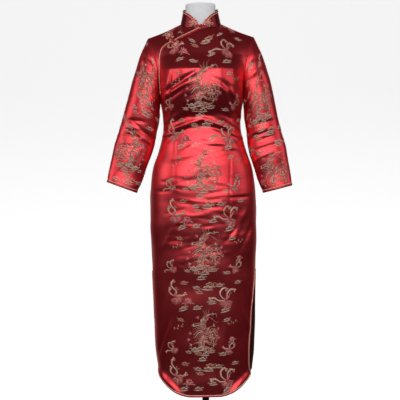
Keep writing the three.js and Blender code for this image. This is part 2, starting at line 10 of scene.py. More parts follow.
import bmesh
import bpy
import numpy as np
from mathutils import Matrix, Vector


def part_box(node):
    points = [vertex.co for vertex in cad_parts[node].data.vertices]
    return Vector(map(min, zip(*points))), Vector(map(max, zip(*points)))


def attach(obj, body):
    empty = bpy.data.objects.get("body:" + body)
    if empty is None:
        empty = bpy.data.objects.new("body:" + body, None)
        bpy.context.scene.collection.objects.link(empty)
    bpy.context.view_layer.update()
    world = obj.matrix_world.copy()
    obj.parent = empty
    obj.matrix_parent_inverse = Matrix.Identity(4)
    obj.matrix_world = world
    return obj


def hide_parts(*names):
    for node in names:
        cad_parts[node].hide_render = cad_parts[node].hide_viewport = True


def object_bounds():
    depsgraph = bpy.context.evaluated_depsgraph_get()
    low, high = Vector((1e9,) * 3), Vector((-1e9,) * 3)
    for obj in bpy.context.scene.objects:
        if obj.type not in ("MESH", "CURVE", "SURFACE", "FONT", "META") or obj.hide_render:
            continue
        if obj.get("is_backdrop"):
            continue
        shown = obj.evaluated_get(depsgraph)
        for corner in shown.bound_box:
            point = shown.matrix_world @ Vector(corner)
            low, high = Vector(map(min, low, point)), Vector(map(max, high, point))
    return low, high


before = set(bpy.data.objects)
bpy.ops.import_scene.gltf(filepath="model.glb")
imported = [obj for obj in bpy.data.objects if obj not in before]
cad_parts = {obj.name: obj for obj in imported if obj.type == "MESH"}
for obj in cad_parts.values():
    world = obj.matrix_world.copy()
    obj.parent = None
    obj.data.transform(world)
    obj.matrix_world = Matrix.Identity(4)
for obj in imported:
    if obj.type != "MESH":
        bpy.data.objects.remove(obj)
CAD_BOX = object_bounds()

bl_info = {
    "name": "Brocade Cheongsam",
    "version": (1, 0, 0),
    "blender": (4, 5, 0),
    "location": "3D View > Sidebar > Cheongsam",
    "description": "Makes a satin brocade cheongsam, its trimmings and its dress form",
    "category": "Object",
}

MM = 0.001


# ---------------------------------------------------------------- settings
def length_setting(name, description, default):
    return bpy.props.FloatProperty(
        name=name, description=description, default=default, unit="LENGTH", precision=4, min=0.0
    )


def colour_setting(name, description, default):
    return bpy.props.StringProperty(name=name, description=description, default=default)


class CheongsamSizes(bpy.types.PropertyGroup):
    """Sizes of the cloth and its trimmings."""

    cloth: length_setting("Cloth", "Thickness of the satin with its lining", 0.0013)
    collar_wall: length_setting("Collar wall", "Thickness of the interfaced collar", 0.0018)
    binding: length_setting("Binding", "Width of the satin bias binding", 0.0046)
    cord: length_setting("Gold cord", "Diameter of the gold cord beside the binding", 0.0027)
    cuff: length_setting("Cuff band", "Width of the cuff's bound band", 0.0095)
    thread_lift: length_setting("Thread lift", "How far woven motifs stand off the satin", 0.00035)


class CheongsamColours(bpy.types.PropertyGroup):
    """Colours of each finish, as sRGB hex."""

    satin: colour_setting("Satin", "Ground of the brocade", "#E0303A")
    satin_deep: colour_setting("Satin shade", "Ground where the weave is denser", "#D02530")
    wrong_side: colour_setting("Wrong side", "Back of the brocade", "#5E0A10")
    gold: colour_setting("Gold thread", "Pinkish gold motif weft", "#D99C84")
    tan: colour_setting("Tan thread", "Greyish tan motif weft", "#A87C68")
    pink: colour_setting("Pink thread", "Pink motif weft", "#D8586A")
    grey: colour_setting("Silver thread", "Pale silver-grey motif weft", "#D8BBAA")
    binding: colour_setting("Binding", "Bias binding satin", "#C81E2B")
    cord: colour_setting("Cord", "Gold cord", "#FBD0BC")
    form: colour_setting("Form", "Moulded dress form", "#EFEFF3")
    paint: colour_setting("Stand paint", "Powder coat of the stand", "#121214")
    floor: colour_setting("Floor", "Studio floor and backdrop", "#FFFFFF")


class CheongsamStage(bpy.types.PropertyGroup):
    """Where the camera and the lights stand."""

    distance: length_setting("Camera distance", "From the pole's axis to the camera", 4.0)
    eye_height: length_setting("Camera height", "Height of the level camera", 0.8156)
    frame_height: length_setting("Frame height", "Height of the picture at the dress", 1.44)
    roll: bpy.props.FloatProperty(
        name="Camera roll", description="Turn of the camera about its own axis",
        default=math.radians(0.78), subtype="ANGLE",
    )


def sizes():
    return bpy.context.scene.cheongsam_sizes


def colours():
    return bpy.context.scene.cheongsam_colours


def stage():
    return bpy.context.scene.cheongsam_stage


# ---------------------------------------------------------------- the garment's measurements
def table(names, *rows):
    """Rows of numbers as named columns."""
    return dict(zip(names.split(), np.array(rows, float).T))


HEM_Z = 122
CORNER_TOP_Z = 212
CORNER_WIDE, CORNER_HIGH, CORNER_POWER = 105, 85, 1.6
SLIT_TOP_Z = 565
UNDERARM_Z = 1165
YOKE = 260
TOP = UNDERARM_Z + YOKE
SHOULDER = (190, 0, 1399)
NECK_HALF, NECK_FRONT, NECK_BACK, NECK_Y = 72, 58, 62, 4
NECK_SIDE_Z, NECK_DROP, NECK_RISE = 1449, 24, 9
NECK_SHARE = 1 / 3
FULLNESS = 0.14
COLLAR_HEIGHT, COLLAR_LEAN, COLLAR_CORNER, COLLAR_POWER = 50, 0.21, 1.2, 3.3
COLLAR_LIFT = 1.4

# Body: half width at the side seams, depth of the front and of the back.
BODY = table(
    "z half front back",
    (110, 162, 96, 100),
    (200, 166, 98, 102),
    (280, 175, 101, 106),
    (420, 181, 106, 111),
    (565, 185, 111, 116),
    (680, 189, 116, 120),
    (800, 190, 118, 121),
    (870, 186, 118, 116),
    (935, 176, 114, 106),
    (1000, 155, 104, 92),
    (1060, 140.5, 98, 82),
    (1105, 139, 102, 82),
    (1165, 148, 124, 91),
)
BUST = table("z out", (1120, 0), (1165, 6), (1225, 15), (1276, 20), (1330, 0))
SLIT_LEAN = table("z away", (110, 6), (200, 10), (270, 16), (380, 14), (480, 8), (565, 0))
# Sleeve rings: outermost and innermost point, half depth, and how far forward it hangs.
SLEEVE_RIGHT_ARM = table(
    "out_x out_z in_x in_z deep forward",
    (217, 1345, 149, 1156, 50, 0),
    (240, 1270, 150, 1138, 52, 0),
    (262, 1195, 153, 1108, 49, 1),
    (285, 1120, 161, 1066, 44, 2),
    (305, 1050, 173, 1014, 38, 5),
    (322, 990, 191, 957, 34, 9),
    (335, 935, 213, 897, 29, 14),
    (343, 884, 238, 844, 25, 20),
)
SLEEVE_LEFT_ARM = table(
    "out_x out_z in_x in_z deep forward",
    (216, 1345, 149, 1156, 50, 0),
    (239, 1270, 150, 1138, 52, 0),
    (257, 1195, 152, 1110, 49, 1),
    (273, 1115, 157, 1065, 44, 3),
    (290, 1040, 164, 1010, 38, 7),
    (303, 985, 175, 955, 34, 11),
    (313, 925, 194, 893, 29, 16),
    (319, 863, 217, 838, 25, 22),
)
# Slanting opening, from the centre front to the underarm.
OPENING = table(
    "x z",
    (0, 1425), (-40, 1406), (-81, 1387), (-123, 1367), (-136, 1356), (-142, 1333),
    (-145, 1300), (-146.5, 1262), (-146.5, 1225), (-145, 1190),
)
# Dress form: half width, front and back depth.
FORM = table(
    "z half front back",
    (790, 150, 82, 86), (800, 166, 96, 100), (860, 166, 98, 98), (930, 152, 92, 86),
    (1000, 132, 84, 74), (1065, 122, 80, 66), (1120, 124, 88, 68), (1180, 132, 108, 76),
    (1235, 138, 118, 80), (1285, 142, 96, 80), (1330, 150, 72, 72), (1360, 156, 50, 58),
    (1384, 150, 38, 46), (1402, 118, 36, 42), (1418, 84, 38, 44), (1434, 62, 39.5, 50),
    (1455, 55, 39.5, 52), (1490, 53.5, 39.5, 51), (1514, 54, 39.5, 51), (1519, 51, 36.5, 48),
    (1521, 45, 31, 42),
)

# Creases: centre, direction from the horizontal, half length, half width, height and lean of the profile.
FOLD = "x z angle long wide high lean"
FRONT_FOLDS = table(
    FOLD,
    # drag lines from both bust points to the centre
    (-66, 1232, 30, 66, 9, -4.2, 0.8),
    (-78, 1206, 27, 60, 8, 2.6, 0.5),
    (-92, 1188, 34, 40, 7, -2.4, 0.0),
    (70, 1222, -24, 56, 10, -2.4, 0.5),
    (84, 1196, -34, 44, 8, 2.2, 0.0),
    (-30, 1182, 18, 50, 8, -1.8, 0.3),
    # strips between the darts and the side seams
    (-116, 1200, 82, 56, 6, -3.6, 0.0),
    (-130, 1170, 84, 66, 6, 2.6, 0.0),
    (-108, 1130, 76, 46, 5, 2.2, 0.0),
    (108, 1150, -66, 72, 8, -3.8, 0.4),
    (125, 1148, -70, 72, 7, 3.0, 0.0),
    (90, 1176, -58, 46, 7, 2.2, 0.0),
    (118, 1104, -58, 46, 6, -2.4, 0.0),
    # arched ridge over the waist, with a deep crease on top of it
    (-60, 1078, 17, 64, 9, 4.6, 0.5),
    (46, 1082, -19, 68, 9, 4.6, 0.5),
    (-8, 1110, 2, 64, 10, -3.4, 0.3),
    (-80, 1100, 20, 46, 7, -2.6, 0.0),
    (-70, 1122, 24, 50, 8, 2.0, 0.3),
    (84, 1112, -22, 44, 7, -2.4, 0.0),
    (-78, 1056, 22, 50, 7, -2.4, 0.0),
    (80, 1052, -26, 52, 8, -2.6, 0.3),
    # puckers at the side seams of the waist
    (-120, 1068, 22, 32, 5, -2.6, 0.0),
    (-118, 1050, 12, 30, 5, 2.0, 0.0),
    (-118, 1030, 20, 32, 5, -2.0, 0.0),
    (120, 1066, -30, 34, 5, -2.6, 0.0),
    (118, 1044, -18, 32, 5, 2.2, 0.0),
    (120, 1022, -26, 34, 5, -2.0, 0.0),
    # dart seams
    (-98, 1030, 90, 150, 3, -1.3, 0.0),
    (98, 1030, 90, 150, 3, -1.3, 0.0),
    (94, 800, 90, 90, 3, -1.1, 0.0),
    # low rolls across the stomach
    (60, 1012, -16, 66, 9, -1.8, 0.4),
    (30, 952, 10, 80, 10, -1.6, 0.4),
    (-70, 968, 12, 46, 8, -1.2, 0.0),
    (-24, 886, 6, 70, 8, -1.2, 0.5),
    (66, 874, -12, 46, 7, 1.0, 0.3),
    # crosswise wrinkles over the hips
    (-78, 852, -7, 40, 6, -0.8, 0.4),
    (44, 840, 8, 38, 6, -0.9, 0.3),
    (128, 822, 3, 32, 4, -2.6, 0.9),
    (-44, 812, -9, 46, 6, 0.8, 0.3),
    (26, 786, 12, 44, 7, -0.8, 0.3),
    (-100, 776, 14, 34, 6, -0.9, 0.0),
    (86, 770, -14, 40, 6, 1.0, 0.0),
    (132, 735, 66, 46, 11, 3.0, 0.4),
    (104, 700, 50, 44, 8, -2.0, 0.3),
    (150, 682, 62, 52, 8, -2.0, 0.0),
    (-64, 728, 10, 48, 7, -0.9, 0.4),
    (-8, 752, -12, 36, 6, -0.7, 0.2),
    (-120, 690, 62, 54, 8, 1.4, 0.3),
    (-20, 660, -9, 52, 8, -1.0, 0.5),
    (52, 625, 10, 44, 7, 0.8, 0.0),
    # slack down the skirt
    (-30, 596, 8, 60, 9, -0.8, 0.4),
    (-148, 322, 72, 58, 8, -3.4, 0.3),
    (-134, 338, 70, 54, 6, 2.6, 0.0),
    (-140, 420, 80, 70, 9, 1.8, 0.0),
    (146, 470, -76, 60, 9, -2.4, 0.0),
    (150, 380, -70, 50, 7, 2.4, 0.0),
    (60, 300, 78, 90, 16, 1.6, 0.0),
    (-40, 260, 82, 100, 18, -1.6, 0.0),
    # corners of the hem kick out
    (-124, 163, -46, 62, 13, 9.0, 0.0),
    (122, 163, 46, 62, 13, 9.0, 0.0),
)
BACK_FOLDS = table(
    FOLD,
    (0, 1040, -5, 95, 9, 4.5, 0.5),
    (10, 1072, 6, 90, 10, -4.0, 0.0),
    (-60, 1020, 14, 60, 8, -3.0, 0.0),
    (64, 1012, -16, 60, 8, 2.6, 0.3),
    (50, 985, 10, 70, 8, -2.4, 0.0),
    (-85, 1190, -62, 60, 8, -3.2, 0.4),
    (82, 1196, 60, 58, 8, -3.0, 0.4),
    (-112, 1130, -74, 60, 7, 2.6, 0.0),
    (110, 1130, 72, 60, 7, 2.6, 0.0),
    (-96, 1020, 90, 150, 3, -1.3, 0.0),
    (96, 1020, 90, 150, 3, -1.3, 0.0),
    (-116, 1060, -16, 34, 6, -2.2, 0.0),
    (116, 1058, 18, 34, 6, -2.2, 0.0),
    (0, 1330, 2, 110, 14, -2.0, 0.0),
    (-70, 930, 12, 60, 8, 1.8, 0.0),
    (50, 900, -8, 70, 8, -1.8, 0.3),
    (-30, 700, -10, 90, 11, -2.4, 0.3),
    (110, 640, 60, 70, 10, -2.0, 0.0),
    (-120, 600, -66, 80, 10, 2.0, 0.0),
    (20, 420, 6, 100, 12, -1.6, 0.0),
    (-50, 280, 82, 100, 18, -1.8, 0.0),
    (70, 260, -80, 90, 16, 1.8, 0.0),
)
# Sleeve creases: x is the distance round the sleeve from its front line, z runs from cuff up.
SLEEVE_FOLDS_RIGHT = table(
    FOLD,
    (-52, 470, 62, 80, 8, -5.0, 0.6),
    (-34, 440, 58, 85, 8, 4.0, 0.3),
    (-64, 425, 52, 60, 7, -3.6, 0.3),
    (-10, 455, 66, 70, 9, -3.4, 0.3),
    (30, 430, 74, 70, 10, 2.6, 0.0),
    (-58, 340, 40, 45, 7, -3.2, 0.4),
    (-40, 262, 22, 52, 7, -4.0, 0.5),
    (-44, 240, 14, 50, 7, 3.2, 0.3),
    (-38, 216, 4, 48, 6, -3.0, 0.3),
    (10, 250, -30, 44, 7, -2.6, 0.0),
    (30, 215, -22, 40, 7, 2.0, 0.0),
    (-20, 175, 12, 46, 7, -2.2, 0.3),
    (20, 120, 80, 60, 8, -2.0, 0.0),
    (-24, 80, 70, 50, 7, 1.8, 0.0),
    (140, 300, 30, 60, 9, -3.0, 0.0),
    (150, 240, -20, 60, 9, 3.0, 0.0),
    (120, 430, -60, 70, 10, -3.0, 0.0),
    (-120, 420, 60, 60, 9, -3.0, 0.0),
    (160, 150, 20, 60, 8, -2.0, 0.0),
)
SLEEVE_FOLDS_LEFT = table(
    FOLD,
    (48, 470, -64, 75, 8, -5.0, 0.5),
    (30, 438, -60, 80, 8, 4.0, 0.3),
    (62, 420, -50, 55, 7, -3.4, 0.3),
    (6, 450, -70, 70, 10, -3.0, 0.0),
    (-30, 410, -76, 70, 10, 2.2, 0.0),
    (54, 330, -36, 45, 7, -3.0, 0.3),
    (30, 262, -12, 56, 7, -3.8, 0.5),
    (26, 240, -6, 56, 7, 3.0, 0.3),
    (30, 214, 4, 50, 6, -3.0, 0.3),
    (-20, 232, 16, 44, 7, -2.6, 0.0),
    (10, 178, 6, 48, 7, -2.4, 0.3),
    (-24, 140, 20, 40, 7, 1.8, 0.0),
    (24, 90, -74, 56, 8, -2.0, 0.0),
    (-140, 300, -30, 60, 9, -3.0, 0.0),
    (-150, 230, 20, 60, 9, 3.0, 0.0),
    (-120, 430, 60, 70, 10, -3.0, 0.0),
    (120, 420, -60, 60, 9, -3.0, 0.0),
    (-160, 150, -20, 60, 8, -2.0, 0.0),
)


# ---------------------------------------------------------------- surfaces of the cloth
def clamp01(t):
    return np.clip(t, 0.0, 1.0)


def ease(t):
    t = clamp01(t)
    return t * t * (3 - 2 * t)


def lerp(a, b, t):
    return a + (b - a) * t


def cubic(rows, key, z):
    """A column of a table, as a smooth curve through its rows."""
    zs, values = rows["z"], rows[key]
    z = np.clip(z, zs[0], zs[-1])
    i = np.clip(np.searchsorted(zs, z, side="right") - 1, 0, len(zs) - 2)
    before, after = np.maximum(i - 1, 0), np.minimum(i + 2, len(zs) - 1)
    step = zs[i + 1] - zs[i]
    t = (z - zs[i]) / step
    slope_a = (values[i + 1] - values[before]) / (zs[i + 1] - zs[before]) * step
    slope_b = (values[after] - values[i]) / (zs[after] - zs[i]) * step
    return (
        (2 * t**3 - 3 * t**2 + 1) * values[i] + (t**3 - 2 * t**2 + t) * slope_a
        + (3 * t**2 - 2 * t**3) * values[i + 1] + (t**3 - t**2) * slope_b
    )


def bezier(a, b, c, d, t):
    s = 1 - t
    return s**3 * a + 3 * s * s * t * b + 3 * s * t * t * c + t**3 * d


def folds_at(folds, x, z):
    """Height of all the creases at places on the cloth."""
    total = np.zeros_like(x)
    for fx, fz, angle, long, wide, high, lean in zip(*(folds[key] for key in FOLD.split())):
        turn = math.radians(angle)
        dx, dz = x - fx, z - fz
        along = (dx * math.cos(turn) + dz * math.sin(turn)) / long
        across = (dz * math.cos(turn) - dx * math.sin(turn)) / wide
        total += high * (1 + lean * across) * np.exp(-(along**4) - across**2)
    return total


def ripple_set(seed, count, shortest, longest, level):
    """Seeded soft waves that keep broad satin from lying dead flat; level favours crosswise ones."""
    draw = random.Random(seed)
    waves = []
    for _ in range(count):
        length = draw.uniform(shortest, longest)
        angle = draw.gauss(math.pi / 2, level)
        waves.append((math.cos(angle) / length, math.sin(angle) / length, draw.uniform(0, 1), length))
    return waves


def ripples(waves, x, z):
    total = np.zeros_like(x)
    for fx, fz, phase, length in waves:
        total += np.sin(2 * math.pi * (x * fx + z * fz + phase)) * length / 100
    return total / math.sqrt(len(waves))


def short_creases(seed, count, box, lengths, heights):
    """Short level creases scattered over a stretch of cloth, uneven in length and depth."""
    draw = random.Random(seed)
    rows = []
    for _ in range(count):
        rows.append((
            draw.uniform(box[0], box[1]), draw.uniform(box[2], box[3]), draw.gauss(0, 9),
            draw.uniform(*lengths), draw.uniform(3.6, 6.0),
            draw.choice((-1, 1)) * draw.uniform(*heights), draw.uniform(-0.5, 0.5),
        ))
    return table(FOLD, *rows)


BROAD = ripple_set(3, 14, 70, 190, 0.9)
FINE = ripple_set(8, 18, 26, 60, 0.5)
BELLY_CREASES = short_creases(5, 50, (-150, 150, 570, 900), (9, 32), (0.4, 1.0))
SEAT_CREASES = short_creases(6, 36, (-150, 150, 610, 900), (9, 30), (0.3, 0.75))
WAIST_CREASES = short_creases(11, 18, (-130, 130, 985, 1140), (16, 40), (0.7, 1.5))


def bust(z):
    """The cloth leans out to a level break at the points, hangs upright under it, and falls away."""
    out = sum(np.interp(z + soft, BUST["z"], BUST["out"]) for soft in (-3, 0, 3)) / 3
    return out


def top_edge(side, u):
    """Neckline and shoulder seam of the front (-1) or back (+1)."""
    across = np.abs(u)
    turn = clamp01(across / NECK_SHARE) * math.pi / 2
    depth, rise = (NECK_FRONT, -NECK_DROP) if side < 0 else (NECK_BACK, NECK_RISE)
    s = clamp01((across - NECK_SHARE) / (1 - NECK_SHARE))
    seam = across > NECK_SHARE
    x = np.where(seam, lerp(NECK_HALF, SHOULDER[0], s), NECK_HALF * np.sin(turn))
    y = np.where(seam, lerp(NECK_Y, SHOULDER[1], s), NECK_Y + side * depth * np.cos(turn))
    z = np.where(
        seam,
        lerp(NECK_SIDE_Z, SHOULDER[2], s) - 3 * np.sin(math.pi * s),
        NECK_SIDE_Z + rise * np.cos(turn),
    )
    return np.sign(u) * x, y, z


def body_base(side, u, h):
    """The body's plain surface: u runs -1 to 1 across, h follows the centre line upwards."""
    z = np.minimum(h, UNDERARM_Z)
    sin, cos = np.sin(u * math.pi / 2), np.cos(u * math.pi / 2)
    x = cubic(BODY, "half", z) * sin
    y = side * cubic(BODY, "front" if side < 0 else "back", z) * cos * (1 + FULLNESS * sin * sin)
    t = clamp01((h - UNDERARM_Z) / YOKE)
    top_x, top_y, top_z = top_edge(side, u)
    across = np.abs(u)
    near = 0.16 * clamp01((1 - across) / 0.5)
    soft = np.mean([top_edge(side, u + near * step) for step in np.linspace(-1, 1, 7)], axis=0)
    corner = ease((t - 0.72) / 0.28)
    top_x, top_y, top_z = (lerp(a, b, corner) for a, b in zip(soft, (top_x, top_y, top_z)))
    neck = ease(across / NECK_SHARE)
    tip = clamp01((across - NECK_SHARE) / (1 - NECK_SHARE))
    if side < 0:
        rise = 14 + 10 * neck + 34 * across**8
        roll = lerp(lerp(46, 86, neck), 60, tip)
    else:
        rise = 8 + 6 * neck + 46 * across**8
        roll = lerp(lerp(42, 82, neck), 62, tip)
    fall = lerp(lerp(68, 38, neck), 62, tip)
    pinch = 32 * tip * np.sign(u)
    upper = h > UNDERARM_Z
    x = np.where(upper, bezier(x, x, top_x - pinch, top_x, t), x)
    y = np.where(upper, bezier(y, y + side * rise, top_y + side * roll, top_y, t), y)
    z = np.where(upper, bezier(UNDERARM_Z, UNDERARM_Z + 70, top_z - fall, top_z, t), z)
    if side < 0:
        y = y - bust(z) * np.minimum(1, 1.6 * cos)
    return np.stack([x, y + side * 0.15, z], axis=-1)


def panel_base(side, u, h):
    """One panel's own surface: drawn in at the slit, and rounded up at the hem corners."""
    half = cubic(BODY, "half", h)
    away = cubic(SLIT_LEAN, "away", h) * ((h < SLIT_TOP_Z) & (u > 0) & (side < 0))
    reach = np.arcsin((half - away) / half) / (math.pi / 2)
    edge = half - away
    x = np.abs(np.sin(u * reach * math.pi / 2)) * half
    out = clamp01((x - (edge - CORNER_WIDE)) / CORNER_WIDE)
    curve = np.maximum(0, 1 - out**CORNER_POWER) ** (1 / CORNER_POWER)
    bottom = HEM_Z + CORNER_HIGH * (1 - curve)
    share = (h - HEM_Z) / (CORNER_TOP_Z - HEM_Z)
    return body_base(side, u * reach, np.where(h < CORNER_TOP_Z, lerp(bottom, CORNER_TOP_Z, share), h))


def normals_of(surface, u, v, du, dv):
    """Unit normals of a surface; they point the way that u crossed with v gives."""
    along = surface(u + du, v) - surface(u - du, v)
    up = surface(u, v + dv) - surface(u, v - dv)
    normal = np.cross(along, up)
    return normal / np.maximum(np.linalg.norm(normal, axis=-1, keepdims=True), 1e-9)


def body_creases(side, x, z):
    """Everything that keeps a body panel from its plain surface."""
    skirt = ease((z - HEM_Z) / 60)
    calm = ease((1300 - z) / 40)
    height = 0.9 * ripples(BROAD, x, z + 400 * side) * (0.35 + 0.65 * calm) * skirt
    busy = 0.6 * ease((z - 560) / 100) * ease((860 - z) / 60)
    busy += 0.5 * ease((z - 960) / 50) * ease((1180 - z) / 50)
    height += 0.5 * ripples(FINE, x + 90 * side, z) * busy
    height += folds_at(WAIST_CREASES, x * -side, z)
    if side < 0:
        return height + folds_at(FRONT_FOLDS, x, z) + folds_at(BELLY_CREASES, x, z)
    return height + folds_at(BACK_FOLDS, x, z) + folds_at(SEAT_CREASES, x, z)


def panel_place(side):
    """The creased surface of a body panel, as a function of u and h."""
    def base(u, h):
        return panel_base(side, u, h)

    def place(u, h):
        point = base(u, h)
        normal = normals_of(base, u, h, 0.004, 1.2) * -side
        seam = ease((1 - np.abs(u)) / 0.05) * ease((TOP - h) / 14)
        return point + normal * (body_creases(side, point[:, 0], point[:, 2]) * seam)[:, None]

    return place


ARMHOLE_ROWS = np.array([1165, 1190, 1214, 1238, 1262, 1286, 1312, 1340, 1370, 1400, 1425.0])
ARMHOLE_PLACES = np.linspace(0, 1, len(ARMHOLE_ROWS))
SLEEVE_LENGTH = 545
SLEEVE_GIRTH = 320


def sleeve_base(rings, mirror, u, v):
    """A sleeve: u turns round it from the shoulder line by the front, v runs from armhole to cuff."""
    u = np.mod(u, 1.0)
    angle = u * 2 * math.pi
    h = np.interp(np.abs(1 - 2 * u), ARMHOLE_PLACES, ARMHOLE_ROWS)
    edge = np.full_like(u, mirror)
    armhole = np.where((u <= 0.5)[:, None], body_base(-1, edge, h), body_base(1, edge, h))
    armhole[:, 0] += mirror * 0.3
    count = len(rings["deep"])

    def ring_point(k):
        row = {key: values[np.clip(k - 1, 0, count - 1)] for key, values in rings.items()}
        out, deep = np.cos(angle), np.sin(angle)
        ring = np.stack([
            mirror * ((row["out_x"] + row["in_x"]) / 2 + (row["out_x"] - row["in_x"]) / 2 * out),
            -row["forward"] - row["deep"] * deep,
            (row["out_z"] + row["in_z"]) / 2 + (row["out_z"] - row["in_z"]) / 2 * out,
        ], axis=-1)
        return np.where((k <= 0)[:, None], armhole, ring)

    k = np.clip(np.floor(v * count), 0, count - 1).astype(int)
    t = (v * count - k)[:, None]
    p, a, b, q = ring_point(k - 1), ring_point(k), ring_point(k + 1), ring_point(k + 2)
    slope_a = np.where((k == 0)[:, None], b - a, (b - p) / 2)
    slope_b = np.where((k == count - 1)[:, None], b - a, (q - a) / 2)
    return (
        a * (2 * t**3 - 3 * t**2 + 1) + slope_a * (t**3 - 2 * t**2 + t)
        + b * (3 * t**2 - 2 * t**3) + slope_b * (t**3 - t**2)
    )


def sleeve_cloth(mirror, u, v):
    """Distance round the sleeve from its front line, positive away from the body, and up from the cuff."""
    around = -(np.mod(u, 1.0) - 0.25)
    around = np.where(around < -0.5, around + 1, around)
    return around * SLEEVE_GIRTH * mirror, (1 - v) * SLEEVE_LENGTH


def sleeve_place(rings, folds, mirror):
    """The creased surface of a sleeve; creases die out towards its outer edge, which hangs smooth."""
    def base(u, v):
        return sleeve_base(rings, mirror, u, v)

    def place(u, v):
        x, z = sleeve_cloth(mirror, u, v)
        height = folds_at(folds, x, z)
        for wrap in (-SLEEVE_GIRTH, SLEEVE_GIRTH):
            height += folds_at(folds, x + wrap, z)
        turn = 2 * math.pi * np.mod(u, 1.0)
        height *= 0.62 * (1 - 0.75 * ease((np.cos(turn) - 0.35) / 0.6))
        height += 0.7 * ripples(BROAD, 50 * np.cos(turn), z + 50 * np.sin(turn))
        height += 0.2 * ripples(FINE, 50 * np.cos(turn), z + 50 * np.sin(turn))
        fade = ease(v / 0.05) * ease((1 - v) / 0.06)
        normal = normals_of(base, u, v, 0.003, 0.003) * mirror
        return base(u, v) + normal * (height * fade)[:, None]

    return place


def collar_height(angle):
    from_front = np.minimum(angle, 2 * math.pi - angle) / COLLAR_CORNER
    return COLLAR_HEIGHT * (1 - (1 - clamp01(from_front)) ** COLLAR_POWER)


def collar_point(angle, height):
    """The stand collar: angle from the centre front round the neck, height above the neckline."""
    sin, cos = np.sin(angle), np.cos(angle)
    shrink = COLLAR_LEAN * height
    depth = np.where(cos > 0, NECK_FRONT, NECK_BACK)
    drop = np.where(cos > 0, NECK_DROP, NECK_RISE)
    return np.stack([
        (NECK_HALF - shrink) * sin,
        NECK_Y - (depth - shrink * 0.8) * cos,
        NECK_SIDE_Z - drop * cos + COLLAR_LIFT + height,
    ], axis=-1)


def on_front(x, z):
    """The u and h of places on the front, from their x and z, by fixed-point steps."""
    x, z = np.asarray(x, float), np.asarray(z, float)
    u, h = x / 170, np.minimum(z, TOP - 20)
    for _ in range(60):
        point = panel_base(-1, u, h)
        u = np.clip(u + 0.6 * (x - point[:, 0]) / 170, -1, 1)
        h = np.minimum(h + 0.6 * (z - point[:, 2]), TOP)
    return u, h


# ---------------------------------------------------------------- meshes
def sheet_mesh(bm, columns, rows, place, closed=False, keep=None, flip=False):
    """Adds a grid to a bmesh and moves it onto place(s, t), which takes shares from 0 to 1."""
    layer = bm.loops.layers.uv.get("Weave") or bm.loops.layers.uv.new("Weave")
    made = bmesh.ops.create_grid(bm, x_segments=columns, y_segments=rows, size=0.5)["verts"]
    shares = np.array([vert.co.xy for vert in made]) + 0.5
    faces = {face for vert in made for face in vert.link_faces}
    for face in faces:
        for loop in face.loops:
            loop[layer].uv = (loop.vert.co.x + 0.5, loop.vert.co.y + 0.5)
    if keep is not None:
        centres = [face.calc_center_median() for face in faces]
        kept = keep(np.array([c.x for c in centres]) + 0.5, np.array([c.y for c in centres]) + 0.5)
        drop = [face for face, stays in zip(faces, kept) if not stays]
    for vert, point in zip(made, place(shares[:, 0], shares[:, 1]) * MM):
        vert.co = point
    if keep is not None:
        bmesh.ops.delete(bm, geom=drop, context="FACES")
        made = [vert for vert in made if vert.is_valid]
    if flip:
        bmesh.ops.reverse_faces(bm, faces=[face for face in faces if face.is_valid])
    if closed:
        bmesh.ops.remove_doubles(bm, verts=made, dist=1e-6)
        made = [vert for vert in made if vert.is_valid]
    return made


def finish_mesh(name, bm, materials):
    """Turns a bmesh into an object at the origin, smooth shaded, with its materials."""
    mesh = bpy.data.meshes.new(name)
    bm.to_mesh(mesh)
    bm.free()
    mesh.polygons.foreach_set("use_smooth", [True] * len(mesh.polygons))
    for material in materials:
        mesh.materials.append(material)
    piece = bpy.data.objects.new(name, mesh)
    bpy.context.collection.objects.link(piece)
    return piece


def thicken(piece, thickness, inner=0, offset=-1.0):
    solid = piece.modifiers.new("Cloth thickness", "SOLIDIFY")
    solid.thickness = thickness
    solid.offset = offset
    solid.material_offset = inner
    return solid


def tube(bm, path, normals, wide, high, sides=10, taper=None, material=0):
    """Adds a closed tube along a path, wide across the surface below it and high off it."""
    path, normals = np.asarray(path, float), np.asarray(normals, float)
    last = len(path) - 1
    tangents = np.gradient(path, axis=0)
    tangents /= np.linalg.norm(tangents, axis=1, keepdims=True)
    across = np.cross(normals, tangents)
    across /= np.linalg.norm(across, axis=1, keepdims=True)
    swell = np.ones(last + 1) if taper is None else np.asarray(taper, float)

    def place(s, t):
        step = np.rint(t * last).astype(int)
        turn = s * 2 * math.pi
        size = swell[step][:, None]
        return (
            path[step]
            + across[step] * (np.cos(turn) * wide / 2)[:, None] * size
            + normals[step] * (np.sin(turn) * high / 2)[:, None] * size
        )

    made = sheet_mesh(bm, sides, last, place, closed=True)
    faces = {face for vert in made for face in vert.link_faces}
    rims = [edge for vert in made for edge in vert.link_edges if edge.is_boundary]
    capped = bmesh.ops.holes_fill(bm, edges=list(set(rims)), sides=0)["faces"]
    faces |= set(capped)
    for face in faces:
        face.material_index = material
    return faces


def outward(bm):
    bmesh.ops.recalc_face_normals(bm, faces=bm.faces)


# ---------------------------------------------------------------- materials
def hex_colour(text):
    """An sRGB hex colour as linear red, green, blue and alpha."""
    channels = [int(text[i:i + 2], 16) / 255 for i in (1, 3, 5)]
    linear = [c / 12.92 if c <= 0.04045 else ((c + 0.055) / 1.055) ** 2.4 for c in channels]
    return (*linear, 1.0)


def node(material, kind, inputs=None, links=None, **settings):
    """Adds a node, sets its properties and input values, and links other nodes' outputs to it."""
    made = material.node_tree.nodes.new(kind)
    for key, value in settings.items():
        setattr(made, key, value)
    for key, value in (inputs or {}).items():
        made.inputs[key].default_value = value
    for key, (other, output) in (links or {}).items():
        material.node_tree.links.new(other.outputs[output], made.inputs[key])
    return made


